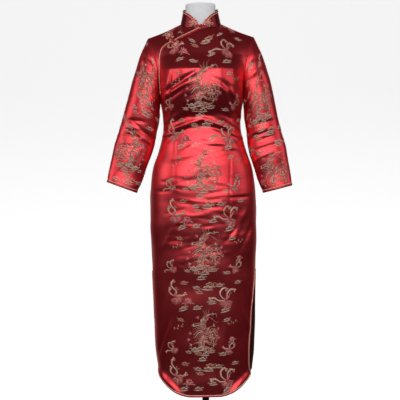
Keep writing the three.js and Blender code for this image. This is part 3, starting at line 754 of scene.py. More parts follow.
def blank_material(name):
    """A material with only a Principled surface, and that surface's node."""
    found = bpy.data.materials.get(name)
    if found:
        return found, None
    material = bpy.data.materials.new(name)
    material.use_nodes = True
    return material, material.node_tree.nodes["Principled BSDF"]


def plug(material, source, output, surface, socket):
    material.node_tree.links.new(source.outputs[output], surface.inputs[socket])


def woven_satin(name, light, deep, roughness, anisotropic, metallic, float_mm=0.9, grain=0.0):
    """Warp-faced satin: long upright floats blur each highlight sideways and keep it sharp up and down.

    The fine ridges are the floats, drawn coarser than the real 0.2 mm so that they show.
    """
    material, surface = blank_material(name)
    if surface is None:
        return material
    coords = node(material, "ShaderNodeTexCoord")
    cloud = node(
        material, "ShaderNodeTexNoise", {"Scale": 9.0, "Detail": 3.0, "Roughness": 0.55},
        {"Vector": (coords, "Object")},
    )
    tone = node(material, "ShaderNodeMix", {"A": light, "B": deep}, {"Factor": (cloud, "Fac")},
                data_type="RGBA")
    stretch = node(
        material, "ShaderNodeMapping", {"Scale": (1000 / float_mm, 1000 / float_mm, 90 / float_mm)},
        {"Vector": (coords, "Object")},
    )
    floats = node(
        material, "ShaderNodeTexNoise", {"Scale": 1.0, "Detail": 1.0}, {"Vector": (stretch, "Vector")}
    )
    bump = node(
        material, "ShaderNodeBump", {"Strength": 0.06, "Distance": 0.0003}, {"Height": (floats, "Fac")}
    )
    tangent = node(material, "ShaderNodeTangent", direction_type="UV_MAP", uv_map="Weave")
    plug(material, tone, "Result", surface, "Base Color")
    plug(material, bump, "Normal", surface, "Normal")
    plug(material, tangent, "Tangent", surface, "Tangent")
    surface.inputs["Roughness"].default_value = roughness
    surface.inputs["Anisotropic"].default_value = anisotropic
    surface.inputs["Anisotropic Rotation"].default_value = grain
    surface.inputs["Metallic"].default_value = metallic
    surface.inputs["Specular Tint"].default_value = hex_colour("#FF8A80")
    surface.inputs["Coat Weight"].default_value = 0.7
    surface.inputs["Coat Roughness"].default_value = 0.36
    return material


def satin():
    """The dress's ground: a bright red sheen that goes dark wherever it mirrors no light."""
    return woven_satin(
        "Warp-faced silk satin", hex_colour(colours().satin), hex_colour(colours().satin_deep),
        roughness=0.34, anisotropic=0.6, metallic=0.88,
    )


def collar_satin():
    """The same satin cut across the grain and stretched over interfacing, so it gleams in upright streaks;
    its colours are painted darker than the ground's as painted shade.
    """
    return woven_satin(
        # painted shade: both colours are darker than the ground satin's, to darken the collar
        "Cross-cut satin over interfacing, painted darker for shade", hex_colour("#A81A26"), hex_colour("#8C121C"),
        roughness=0.3, anisotropic=0.75, metallic=0.86, grain=0.25,
    )


def binding_satin():
    """Narrow bias strips: a softer sheen than the ground, so that the rounded edge reads."""
    return woven_satin(
        "Bias-cut satin binding", hex_colour(colours().binding), hex_colour("#A81420"),
        roughness=0.36, anisotropic=0.4, metallic=0.7,
    )


def petal_satin():
    """Padded petals of the frogs: the least mirror-like satin, which shows their roundness."""
    return woven_satin(
        "Padded satin petal", hex_colour("#C61826"), hex_colour("#A30F1C"),
        roughness=0.34, anisotropic=0.4, metallic=0.4,
    )


def wrong_side():
    """Dull back of the brocade, where the motif wefts float: matt and darker than the face."""
    material, surface = blank_material("Brocade wrong side")
    if surface is None:
        return material
    coords = node(material, "ShaderNodeTexCoord")
    threads = node(
        material, "ShaderNodeTexNoise", {"Scale": 420.0, "Detail": 2.0}, {"Vector": (coords, "Object")}
    )
    tone = node(
        material, "ShaderNodeMix",
        {"A": hex_colour(colours().wrong_side), "B": hex_colour("#7A1A1C")},
        {"Factor": (threads, "Fac")}, data_type="RGBA",
    )
    plug(material, tone, "Result", surface, "Base Color")
    surface.inputs["Roughness"].default_value = 0.62
    surface.inputs["Sheen Weight"].default_value = 0.15
    return material


def brocade_thread(name, colour, metallic):
    """Motif weft: short loose floats across the cloth, softer in gloss than the satin ground, painted darker
    between the floats as painted shade and brighter on them as painted highlight.
    """
    material, surface = blank_material(name)
    if surface is None:
        return material
    coords = node(material, "ShaderNodeTexCoord")
    stretch = node(
        material, "ShaderNodeMapping", {"Scale": (260.0, 260.0, 1100.0)}, {"Vector": (coords, "Object")}
    )
    floats = node(
        material, "ShaderNodeTexNoise", {"Scale": 1.0, "Detail": 2.0}, {"Vector": (stretch, "Vector")}
    )
    red, green, blue, alpha = hex_colour(colour)
    # painted shade and painted highlight: darker where the floats' bump sinks, brighter than the thread's
    # colour where it rises
    tone = node(
        material, "ShaderNodeMix",
        {
            "A": (red * 0.62, green * 0.55, blue * 0.55, alpha),
            "B": (red * 1.12, green * 1.12, blue * 1.12, alpha),
        },
        {"Factor": (floats, "Fac")}, data_type="RGBA",
    )
    bump = node(
        material, "ShaderNodeBump", {"Strength": 0.3, "Distance": 0.0003}, {"Height": (floats, "Fac")}
    )
    plug(material, tone, "Result", surface, "Base Color")
    plug(material, bump, "Normal", surface, "Normal")
    surface.inputs["Roughness"].default_value = 0.42
    surface.inputs["Metallic"].default_value = metallic
    return material


def thread_materials():
    palette = colours()
    return [
        brocade_thread("Gold brocading weft", palette.gold, 0.25),
        brocade_thread("Tan brocading weft", palette.tan, 0.15),
        brocade_thread("Pink brocading weft", palette.pink, 0.1),
        brocade_thread("Silver brocading weft", palette.grey, 0.2),
    ]


def gold_cord():
    """Plied lurex cord: bright rose gold, with painted shade darkening the grooves between the plies."""
    material, surface = blank_material("Plied gold cord")
    if surface is None:
        return material
    coords = node(material, "ShaderNodeTexCoord")
    plies = node(
        material, "ShaderNodeTexWave", {"Scale": 190.0, "Distortion": 0.4}, {"Vector": (coords, "Object")},
        bands_direction="DIAGONAL",
    )
    # painted shade: the darker colour sits where the plies' bump sinks into the grooves
    tone = node(
        material, "ShaderNodeMix", {"A": hex_colour("#DE9A84"), "B": hex_colour(colours().cord)},
        {"Factor": (plies, "Fac")}, data_type="RGBA",
    )
    bump = node(material, "ShaderNodeBump", {"Strength": 0.4, "Distance": 0.0003}, {"Height": (plies, "Fac")})
    plug(material, tone, "Result", surface, "Base Color")
    plug(material, bump, "Normal", surface, "Normal")
    surface.inputs["Roughness"].default_value = 0.35
    surface.inputs["Metallic"].default_value = 0.1
    return material


def moulded_form():
    """Painted moulding: smooth, matt pale grey with the faintest mottling."""
    material, surface = blank_material("Matt painted moulding")
    if surface is None:
        return material
    coords = node(material, "ShaderNodeTexCoord")
    mottle = node(
        material, "ShaderNodeTexNoise", {"Scale": 60.0, "Detail": 4.0}, {"Vector": (coords, "Object")}
    )
    tone = node(
        material, "ShaderNodeMix", {"A": hex_colour(colours().form), "B": hex_colour("#DCDCE0")},
        {"Factor": (mottle, "Fac")}, data_type="RGBA",
    )
    bump = node(
        material, "ShaderNodeBump", {"Strength": 0.05, "Distance": 0.0004}, {"Height": (mottle, "Fac")}
    )
    plug(material, tone, "Result", surface, "Base Color")
    plug(material, bump, "Normal", surface, "Normal")
    surface.inputs["Roughness"].default_value = 0.55
    return material


def powder_coat():
    """Satin black powder coat: a fine orange peel over steel."""
    material, surface = blank_material("Satin black powder coat")
    if surface is None:
        return material
    coords = node(material, "ShaderNodeTexCoord")
    peel = node(
        material, "ShaderNodeTexNoise", {"Scale": 700.0, "Detail": 2.0}, {"Vector": (coords, "Object")}
    )
    tone = node(
        material, "ShaderNodeMix", {"A": hex_colour(colours().paint), "B": hex_colour("#1D1D20")},
        {"Factor": (peel, "Fac")}, data_type="RGBA",
    )
    bump = node(material, "ShaderNodeBump", {"Strength": 0.15, "Distance": 0.0002}, {"Height": (peel, "Fac")})
    plug(material, tone, "Result", surface, "Base Color")
    plug(material, bump, "Normal", surface, "Normal")
    surface.inputs["Roughness"].default_value = 0.4
    return material


def floor_paper():
    """Matt white paper lit from behind, so that it stays pale right up to the stand."""
    material, surface = blank_material("Studio paper")
    if surface is None:
        return material
    surface.inputs["Base Color"].default_value = hex_colour(colours().floor)
    surface.inputs["Roughness"].default_value = 0.9
    surface.inputs["Emission Color"].default_value = (1, 1, 1, 1)
    surface.inputs["Emission Strength"].default_value = 0.6
    return material


# ---------------------------------------------------------------- body panels
BODY_COLUMNS = 130
BODY_ROWS = 290


def body_share(s, t):
    """Grid shares as the body's u and h."""
    return 2 * s - 1, lerp(HEM_Z, TOP, t)


def right_of_opening(x, z):
    """Whether places lie on the wearer's right of the slanting opening, on the underlap's side."""
    slant = np.interp(x, OPENING["x"][:5][::-1], OPENING["z"][:5][::-1])
    upright = np.interp(z, OPENING["z"][4:][::-1], OPENING["x"][4:][::-1])
    above = np.where(x > OPENING["x"][4], z > slant, x < upright)
    return above & (z > OPENING["z"][-1] - 10) & (x < 0)


def body_piece(name, side, keep=None, flip=False):
    place = panel_place(side)
    bm = bmesh.new()
    sheet_mesh(
        bm, BODY_COLUMNS, BODY_ROWS, lambda s, t: place(*body_share(s, t)), keep=keep, flip=flip
    )
    return finish_mesh(name, bm, [satin(), wrong_side()])


def on_underlap(s, t):
    point = panel_base(-1, *body_share(s, t))
    return right_of_opening(point[:, 0], point[:, 2])


def make_front():
    piece = body_piece("front_panel_cloth", -1, keep=lambda s, t: ~on_underlap(s, t))
    thicken(piece, sizes().cloth, inner=1)
    return piece


def make_underlap():
    piece = body_piece("front_underlap_cloth", -1, keep=on_underlap)
    thicken(piece, sizes().cloth, inner=1)
    return piece


def make_back():
    piece = body_piece("back_panel_cloth", 1, flip=True)
    thicken(piece, sizes().cloth, inner=1)
    return piece


def make_sleeve(name, rings, folds, mirror):
    place = sleeve_place(rings, folds, mirror)
    bm = bmesh.new()
    sheet_mesh(bm, 96, 160, lambda s, t: place(s, t), closed=True, flip=mirror < 0)
    piece = finish_mesh(name, bm, [satin(), wrong_side()])
    thicken(piece, sizes().cloth, inner=1)
    return piece


def make_collar():
    front_gap = 0.05

    def place(s, t):
        angle = lerp(front_gap, 2 * math.pi - front_gap, s)
        return collar_point(angle, t * collar_height(angle))

    bm = bmesh.new()
    sheet_mesh(bm, 150, 16, place)
    piece = finish_mesh("collar_cloth", bm, [collar_satin(), wrong_side()])
    thicken(piece, sizes().collar_wall, inner=0)
    return piece


# ---------------------------------------------------------------- piping
def edge_frame(place, us, vs, du, dv, sign):
    """Points and outward normals of a path on a cloth surface."""
    return place(us, vs), normals_of(place, us, vs, du, dv) * sign


def inset(path, normals, amount):
    """A path moved sideways over the cloth, to the left of its direction."""
    tangents = np.gradient(path, axis=0)
    across = np.cross(normals, tangents)
    across /= np.linalg.norm(across, axis=1, keepdims=True)
    return path + across * amount


def smooth_path(path, rounds=2):
    for _ in range(rounds):
        path[1:-1] = (path[:-2] + 2 * path[1:-1] + path[2:]) / 4
    return path


def piping(name, path, normals, side, settle=lambda points: points, rim=False):
    """A satin binding along an edge with a gold cord inside it, and another on the rim if wanted.

    Side is +1 or -1 for the side that the cloth lies on, and settle moves places onto the cloth.
    """
    wide, cord = sizes().binding / MM, sizes().cord / MM
    bm = bmesh.new()
    middle = settle(inset(path, normals, side * wide * 0.42)) + normals * 0.3
    tube(bm, middle, normals, wide, 2.6, sides=12)
    line = settle(inset(path, normals, side * (wide * 0.92 + cord * 0.62))) + normals * 0.8
    tube(bm, line, normals, cord, cord, sides=8, material=1)
    if rim:
        tube(bm, path + normals * 0.9, normals, cord * 0.8, cord * 0.8, sides=8, material=1)
    outward(bm)
    return finish_mesh(name, bm, [binding_satin(), gold_cord()])


def hem_path(side):
    """Down one slit edge, round the hem and up the other."""
    steps = 90
    drop = np.linspace(SLIT_TOP_Z, HEM_Z, steps)
    across = np.linspace(-1, 1, 2 * steps)
    us = np.concatenate([np.full(steps - 1, -1.0), across, np.full(steps - 1, 1.0)])
    hs = np.concatenate([drop[:-1], np.full(len(across), float(HEM_Z)), drop[::-1][1:]])
    place = panel_place(side)
    points = place(us, hs)
    normals = normals_of(place, np.clip(us, -0.985, 0.985), np.maximum(hs, HEM_Z + 3), 0.006, 1.6) * -side
    lengths = np.concatenate([[0], np.cumsum(np.linalg.norm(np.diff(points, axis=0), axis=1))])
    even = np.linspace(0, lengths[-1], 260)

    def resample(values):
        return np.stack([np.interp(even, lengths, values[:, k]) for k in range(3)], axis=-1)

    points, normals = resample(points), resample(normals)
    return points, normals / np.linalg.norm(normals, axis=1, keepdims=True)


def opening_path():
    xs, zs = [], []
    for i in range(len(OPENING["x"]) - 1):
        count = 12
        for j in range(count):
            xs.append(lerp(OPENING["x"][i], OPENING["x"][i + 1], j / count))
            zs.append(lerp(OPENING["z"][i], OPENING["z"][i + 1], j / count))
    flat = smooth_path(np.array([xs, zs]).T, 14)
    u, h = on_front(flat[:, 0], np.minimum(flat[:, 1], NECK_SIDE_Z - NECK_DROP - 3))
    return edge_frame(panel_place(-1), u, h, 0.004, 1.2, 1)


def collar_normals(points):
    """Outward normals of the leaning collar."""
    outward_flat = points * (1, 1, 0) - (0, NECK_Y, 0)
    outward_flat /= np.linalg.norm(outward_flat, axis=1, keepdims=True)
    normals = outward_flat + (0, 0, COLLAR_LEAN)
    return normals / np.linalg.norm(normals, axis=1, keepdims=True)


def on_collar(points):
    """Moves places near the collar onto its surface."""
    depth = np.where(points[:, 1] < NECK_Y, NECK_FRONT, NECK_BACK)
    angle = np.arctan2(points[:, 0] / NECK_HALF, (NECK_Y - points[:, 1]) / depth)
    drop = np.where(np.cos(angle) > 0, NECK_DROP, NECK_RISE)
    height = points[:, 2] - NECK_SIDE_Z + drop * np.cos(angle) - COLLAR_LIFT
    return collar_point(angle, height)


def collar_edge():
    angle = np.concatenate([
        np.linspace(0.05, 0.5, 40), np.linspace(0.5, 2 * math.pi - 0.5, 120)[1:-1],
        np.linspace(2 * math.pi - 0.5, 2 * math.pi - 0.05, 40),
    ])
    points = collar_point(angle, collar_height(angle))
    return points, collar_normals(points)


def make_piping():
    pieces = {}
    points, normals = collar_edge()
    pieces["piping_collar"] = piping("piping_collar_bound", points, normals, -1, settle=on_collar, rim=True)
    points, normals = opening_path()
    pieces["piping_opening"] = piping("piping_opening_bound", points, normals, -1)
    for node_name, side in (("piping_front_hem", -1), ("piping_back_hem", 1)):
        points, normals = hem_path(side)
        pieces[node_name] = piping(node_name + "_bound", points, normals, -side)
    return pieces


def make_cuffs():
    pieces = {}
    for node_name, rings, folds, mirror in (
        ("piping_cuff_right_arm", SLEEVE_RIGHT_ARM, SLEEVE_FOLDS_RIGHT, -1),
        ("piping_cuff_left_arm", SLEEVE_LEFT_ARM, SLEEVE_FOLDS_LEFT, 1),
    ):
        place = sleeve_place(rings, folds, mirror)
        wide = sizes().cuff / MM / SLEEVE_LENGTH
        bm = bmesh.new()

        def band(s, t):
            point = place(s, lerp(1 - wide, 1.0, t))
            normal = normals_of(place, s, np.full_like(s, 0.99), 0.003, 0.003) * mirror
            swell = 0.5 + 1.3 * np.sqrt(np.maximum(0, 1 - (2 * t - 1) ** 2))
            return point + normal * swell[:, None]

        sheet_mesh(bm, 96, 8, band, closed=True, flip=mirror < 0)
        turns = np.linspace(0, 1, 97)
        ring = place(turns, np.full(97, 1 - wide * 1.12))
        normals = normals_of(place, turns, np.full(97, 0.96), 0.003, 0.003) * mirror
        cord = sizes().cord / MM
        tube(bm, ring + normals * 0.6, normals, cord, cord, sides=8, material=1)
        pieces[node_name] = finish_mesh(node_name + "_bound", bm, [binding_satin(), gold_cord()])
    return pieces


# ---------------------------------------------------------------- flower frogs
def column_of(lift):
    """A single lift, or one for each point, ready to multiply normals by."""
    return np.reshape(lift, (-1, 1))


def front_spot(cx, cz):
    """Local places on the front, in mm from a centre, with a lift off the cloth."""
    place = panel_place(-1)

    def spot(x, z, lift):
        u, h = on_front(cx + x, cz + z)
        return place(u, h) + normals_of(place, u, h, 0.004, 1.2) * column_of(lift)

    return spot


def collar_spot(cx, cz):
    def spot(x, z, lift):
        angle = np.arcsin((cx + x) / (NECK_HALF - 3))
        height = cz + z - NECK_SIDE_Z + NECK_DROP * np.cos(angle)
        point = collar_point(angle, height - COLLAR_LIFT)
        return point + collar_normals(point) * column_of(lift)

    return spot


def cord_on(bm, spot, points, width, lift, material, sides=8):
    """A cord laid on the cloth along local points."""
    points = np.asarray(points, float)
    path = spot(points[:, 0], points[:, 1], lift)
    above = spot(points[:, 0], points[:, 1], lift + 1.0)
    tube(bm, path, above - path, width, width, sides=sides, material=material)


def petal_outline(length, wide, turn, start=3.0, count=26):
    """A pointed petal's closed outline, from the flower's centre outwards and back."""
    t = np.linspace(0, 1, count)
    along = start + length * np.sin(math.pi * t)
    aside = wide * np.sin(2 * math.pi * t) * (0.6 + 0.4 * np.sin(math.pi * t))
    return np.stack([
        along * math.cos(turn) - aside * math.sin(turn),
        along * math.sin(turn) + aside * math.cos(turn),
    ], axis=-1)


def flower_knot(bm, spot, radius, turn_degrees, petals=5):
    """A flower frog: a padded satin petal inside each corded outline, and a corded eye."""
    for i in range(petals):
        turn = math.radians(turn_degrees) + i * 2 * math.pi / petals
        length = radius * (0.92 + 0.12 * math.cos(2.3 * i + turn_degrees))

        def pad(s, t, turn=turn, length=length):
            along = 4 + (length - 1.5) * t
            half = 3.6 * np.sin(math.pi * np.clip(t, 0.02, 0.98)) ** 0.7
            x = along * math.cos(turn) - half * (2 * s - 1) * math.sin(turn)
            z = along * math.sin(turn) + half * (2 * s - 1) * math.cos(turn)
            return spot(x, z, 1.1 + 2.0 * np.sin(math.pi * s) * np.sin(math.pi * t))

        sheet_mesh(bm, 6, 8, pad)
        cord_on(bm, spot, petal_outline(length, 4.4, turn), 1.9, 1.5, 1)
    eye = np.linspace(0, 2 * math.pi * 1.6, 30)
    size = np.linspace(3.6, 1.0, 30)
    cord_on(bm, spot, np.stack([size * np.cos(eye), size * np.sin(eye)], axis=-1), 1.8, 2.6, 1)


def button_and_loop(bm, spot, reach, turn_degrees):
    """The knotted ball in its loop, with doubled satin cords running out to both flowers."""
    turn = math.radians(turn_degrees)
    direction, aside = np.array([math.cos(turn), math.sin(turn)]), np.array([-math.sin(turn), math.cos(turn)])
    for offset in (-1.7, 1.7):
        t = np.linspace(-1, 1, 24)[:, None]
        bow = offset * (1 + 0.9 * np.exp(-((t / 0.22) ** 2)))
        cord_on(bm, spot, direction * t * reach + aside * bow, 2.9, 2.0, 2)
    for tilt in (0.0, 1.05, 2.1):
        t = np.linspace(0, 2 * math.pi, 22)
        ring = np.stack([4.0 * np.cos(t), 2.0 * np.sin(t)], axis=-1)
        spin = np.array([[math.cos(tilt), -math.sin(tilt)], [math.sin(tilt), math.cos(tilt)]])
        cord_on(bm, spot, ring @ spin.T, 3.2, 4.4, 2)
    ball = bmesh.ops.create_uvsphere(bm, u_segments=14, v_segments=9, radius=4.4 * MM)["verts"]
    centre = spot(np.zeros(1), np.zeros(1), 4.4)[0] * MM
    bmesh.ops.scale(bm, verts=ball, vec=(1.0, 0.85, 1.0))
    bmesh.ops.translate(bm, verts=ball, vec=centre)
    for face in {face for vert in ball for face in vert.link_faces}:
        face.material_index = 2


def node_centre(name):
    """Middle of a CAD node at rest, in mm."""
    low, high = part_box(name)
    return [(a + b) / 2 / MM for a, b in zip(low, high)]


def make_frogs():
    finish = [petal_satin(), gold_cord(), petal_satin()]
    pieces = {}
    for place_name, spot_of, reach in (("collar", collar_spot, 15), ("opening", front_spot, 15)):
        centres = {part: node_centre(f"frog_{place_name}_{part}") for part in ("loop", "button", "knot")}
        for part, turn in (("loop", 24), ("button", 60)):
            bm = bmesh.new()
            flower_knot(bm, spot_of(centres[part][0], centres[part][2]), 12.5, turn)
            pieces[f"frog_{place_name}_{part}"] = finish_mesh(f"frog_{place_name}_{part}_sewn", bm, finish)
        bm = bmesh.new()
        run = [centres["button"][i] - centres["loop"][i] for i in (0, 2)]
        turn = math.degrees(math.atan2(run[1], run[0]))
        button_and_loop(bm, spot_of(centres["knot"][0], centres["knot"][2]), reach, turn)
        pieces[f"frog_{place_name}_knot"] = finish_mesh(f"frog_{place_name}_knot_sewn", bm, finish)
    return pieces


# ---------------------------------------------------------------- dress form and stand
def make_form():
    rows = np.unique(np.concatenate([np.linspace(790, 1505, 90), np.linspace(1505, 1521, 12)]))

    def place(s, t):
        z = np.interp(t, np.linspace(0, 1, len(rows)), rows)
        turn = 2 * math.pi * s
        sin, cos = np.sin(turn), np.cos(turn)
        depth = np.where(cos > 0, cubic(FORM, "front", z), cubic(FORM, "back", z))
        return np.stack([cubic(FORM, "half", z) * sin, -depth * cos * (1 + FULLNESS * sin * sin), z], axis=-1)

    bm = bmesh.new()
    made = sheet_mesh(bm, 96, len(rows) - 1, place, closed=True)
    rims = list({edge for vert in made for edge in vert.link_edges if edge.is_boundary})
    caps = bmesh.ops.holes_fill(bm, edges=rims, sides=0)["faces"]
    for cap in caps:
        bmesh.ops.inset_region(bm, faces=[cap], thickness=0.004)
    outward(bm)
    return finish_mesh("dress_form_moulded", bm, [moulded_form()])


def spun(name, outline, steps, material):
    """A turned piece from its outline, radius and height in mm, starting and ending on the axis."""
    bm = bmesh.new()
    verts = [bm.verts.new((radius * MM, 0, z * MM)) for radius, z in outline]
    edges = [bm.edges.new(pair) for pair in zip(verts, verts[1:])]
    bmesh.ops.spin(
        bm, geom=verts + edges, cent=(0, 0, 0), axis=(0, 0, 1), angle=2 * math.pi, steps=steps, use_merge=True
    )
    bmesh.ops.remove_doubles(bm, verts=bm.verts, dist=1e-6)
    outward(bm)
    piece = finish_mesh(name, bm, [material])
    bevel = piece.modifiers.new("Soft edges", "BEVEL")
    bevel.width = 0.0012
    bevel.segments = 3
    bevel.limit_method = "ANGLE"
    return piece


def make_stand():
    (_, _, low), (radius, _, high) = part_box("stand_pole")
    pole = spun(
        "stand_pole_tube", [(0, low / MM), (radius / MM, low / MM), (radius / MM, high / MM), (0, high / MM)],
        48, powder_coat(),
    )
    _, (reach, _, crown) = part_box("stand_base")
    wide, tall = reach / MM, crown / MM
    base = spun(
        "stand_base_plate",
        [(0, 0), (wide, 0), (wide, 8), (wide - 6, 12), (50, tall - 3), (30, tall), (0, tall)],
        96, powder_coat(),
    )
    return {"stand_pole": pole, "stand_base": base}


# ---------------------------------------------------------------- woven motifs
GOLD, TAN, PINK, SILVER = range(4)
STROKE_STEPS = 6


def curve_through(points, count):
    """A smooth run of points through a few given ones."""
    points = np.asarray(points, float)
    if len(points) == 2:
        return lerp(points[0], points[1], np.linspace(0, 1, count)[:, None])
    spans = len(points) - 1
    padded = np.vstack([2 * points[0] - points[1], points, 2 * points[-1] - points[-2]])
    place = np.linspace(0, spans, count)
    k = np.minimum(place.astype(int), spans - 1)
    t = (place - k)[:, None]
    p0, p1, p2, p3 = (padded[k + i] for i in range(4))
    return 0.5 * (
        2 * p1 + (p2 - p0) * t + (2 * p0 - 5 * p1 + 4 * p2 - p3) * t**2 + (3 * p1 - p0 - 3 * p2 + p3) * t**3
    )


THREAD_SPREAD = 1.25  # a floating thread covers more cloth than its drawn width
PROFILES = {
    "leaf": lambda t: np.sin(math.pi * np.clip(t, 0.03, 0.97)) ** 0.8,
    "tail": lambda t: 1 - 0.9 * t,
    "head": lambda t: 0.25 + 0.75 * t,
    "even": lambda t: np.minimum(1, 6 * np.minimum(t, 1 - t) + 0.35),
}


class Motif:
    """Tapered thread strokes in mm around a centre; each is a centre line, half widths and a colour."""

    def __init__(self):
        self.strokes = []

    def line(self, points, width, colour=GOLD, profile="even"):
        path = curve_through(points, STROKE_STEPS + 1)
        half = THREAD_SPREAD * width / 2 * PROFILES[profile](np.linspace(0, 1, STROKE_STEPS + 1))
        self.strokes.append((path, half, colour))

    def curl(self, x, z, radius, start, sweep, width, colour=GOLD):
        t = np.linspace(0, 1, 9)
        angle = np.radians(start + sweep * t)
        size = radius * (1 - 0.78 * t)
        path = np.stack([x + size * np.cos(angle), z + size * np.sin(angle)], axis=-1)
        self.line(path, width, colour, "tail")

    def add(self, other, x=0, z=0, scale=1.0, turn=0.0, flip=False, colour=None):
        spin = math.radians(turn)
        matrix = np.array([[math.cos(spin), -math.sin(spin)], [math.sin(spin), math.cos(spin)]])
        mirror = np.array([-1, 1]) if flip else np.array([1, 1])
        for path, half, own in other.strokes:
            moved = (path * mirror * scale) @ matrix.T + (x, z)
            self.strokes.append((moved, half * scale, own if colour is None else colour))


def ruyi_cloud(colour=SILVER):
    """A small level cloud: three tight curls on a trailing wisp."""
    cloud = Motif()
    cloud.curl(-11, 2, 8, 200, -400, 5.6, colour)
    cloud.curl(3, 6, 10, 190, -420, 6.0, colour)
    cloud.curl(16, 1, 7.5, 180, -400, 5.0, colour)
    cloud.line([(-30, -5), (-14, -8), (6, -7), (28, -4)], 5.0, colour, "leaf")
    cloud.line([(18, 9), (26, 11), (35, 6)], 3.2, colour, "leaf")
    return cloud


def peony(radius=14):
    """A full-faced flower with two rings of petals and a few leaves."""
    flower = Motif()
    for ring, (count, reach, wide) in enumerate(((8, 1.0, 7.5), (6, 0.62, 5.5))):
        for i in range(count):
            turn = 2 * math.pi * (i + 0.5 * ring) / count
            outer = radius * reach * (1 + 0.1 * math.sin(3 * i))
            tip = (outer * math.cos(turn), outer * math.sin(turn) * 0.9)
            root = (0.15 * outer * math.cos(turn), 0.15 * outer * math.sin(turn))
            flower.line([root, tip], wide, PINK if ring == 0 else GOLD, "leaf")
            if ring == 0:
                vein = [(tip[0] * 0.55, tip[1] * 0.55), (tip[0] * 1.02, tip[1] * 1.02)]
                flower.line(vein, 1.3, SILVER, "leaf")
    for turn, reach in ((205, 1.9), (238, 1.7), (335, 1.8)):
        angle = math.radians(turn)
        root = (radius * 0.8 * math.cos(angle), radius * 0.8 * math.sin(angle))
        tip = (radius * reach * math.cos(angle), radius * reach * math.sin(angle))
        flower.line([root, tip], 5, TAN, "leaf")
        flower.line([root, tip], 1.1, GOLD, "leaf")
    return flower


def scaled_body(beast, points, girth, steps, taper=0.8):
    """A dragon's body along points: both outlines, rows of scales between them, and a fin of spines."""
    spine = curve_through(points, steps)
    tangent = np.gradient(spine, axis=0)
    tangent /= np.linalg.norm(tangent, axis=1, keepdims=True)
    side = np.stack([-tangent[:, 1], tangent[:, 0]], axis=-1)
    half = girth * (1 - taper * np.linspace(0, 1, steps) ** 1.5)
    for sign, colour in ((1, GOLD), (-1, TAN)):
        outline = spine + side * (half * sign)[:, None]
        for a in range(0, steps - 6, 10):
            beast.line(outline[a:a + 12:2], 2.8, colour)
    for i in range(1, steps - 2, 2):
        left, right = spine[i] + side[i] * half[i] * 0.8, spine[i] - side[i] * half[i] * 0.8
        bulge = spine[i] + tangent[i] * half[i] * 0.6
        beast.line([left, bulge, right], 3.0, (GOLD, PINK, SILVER)[i % 3], "leaf")
    for i in range(1, steps - 2, 3):
        root = spine[i] + side[i] * half[i]
        tip = root + side[i] * 5.4 + tangent[i] * 3.6
        beast.line([root, tip], 2.8, GOLD if i % 2 else TAN, "tail")


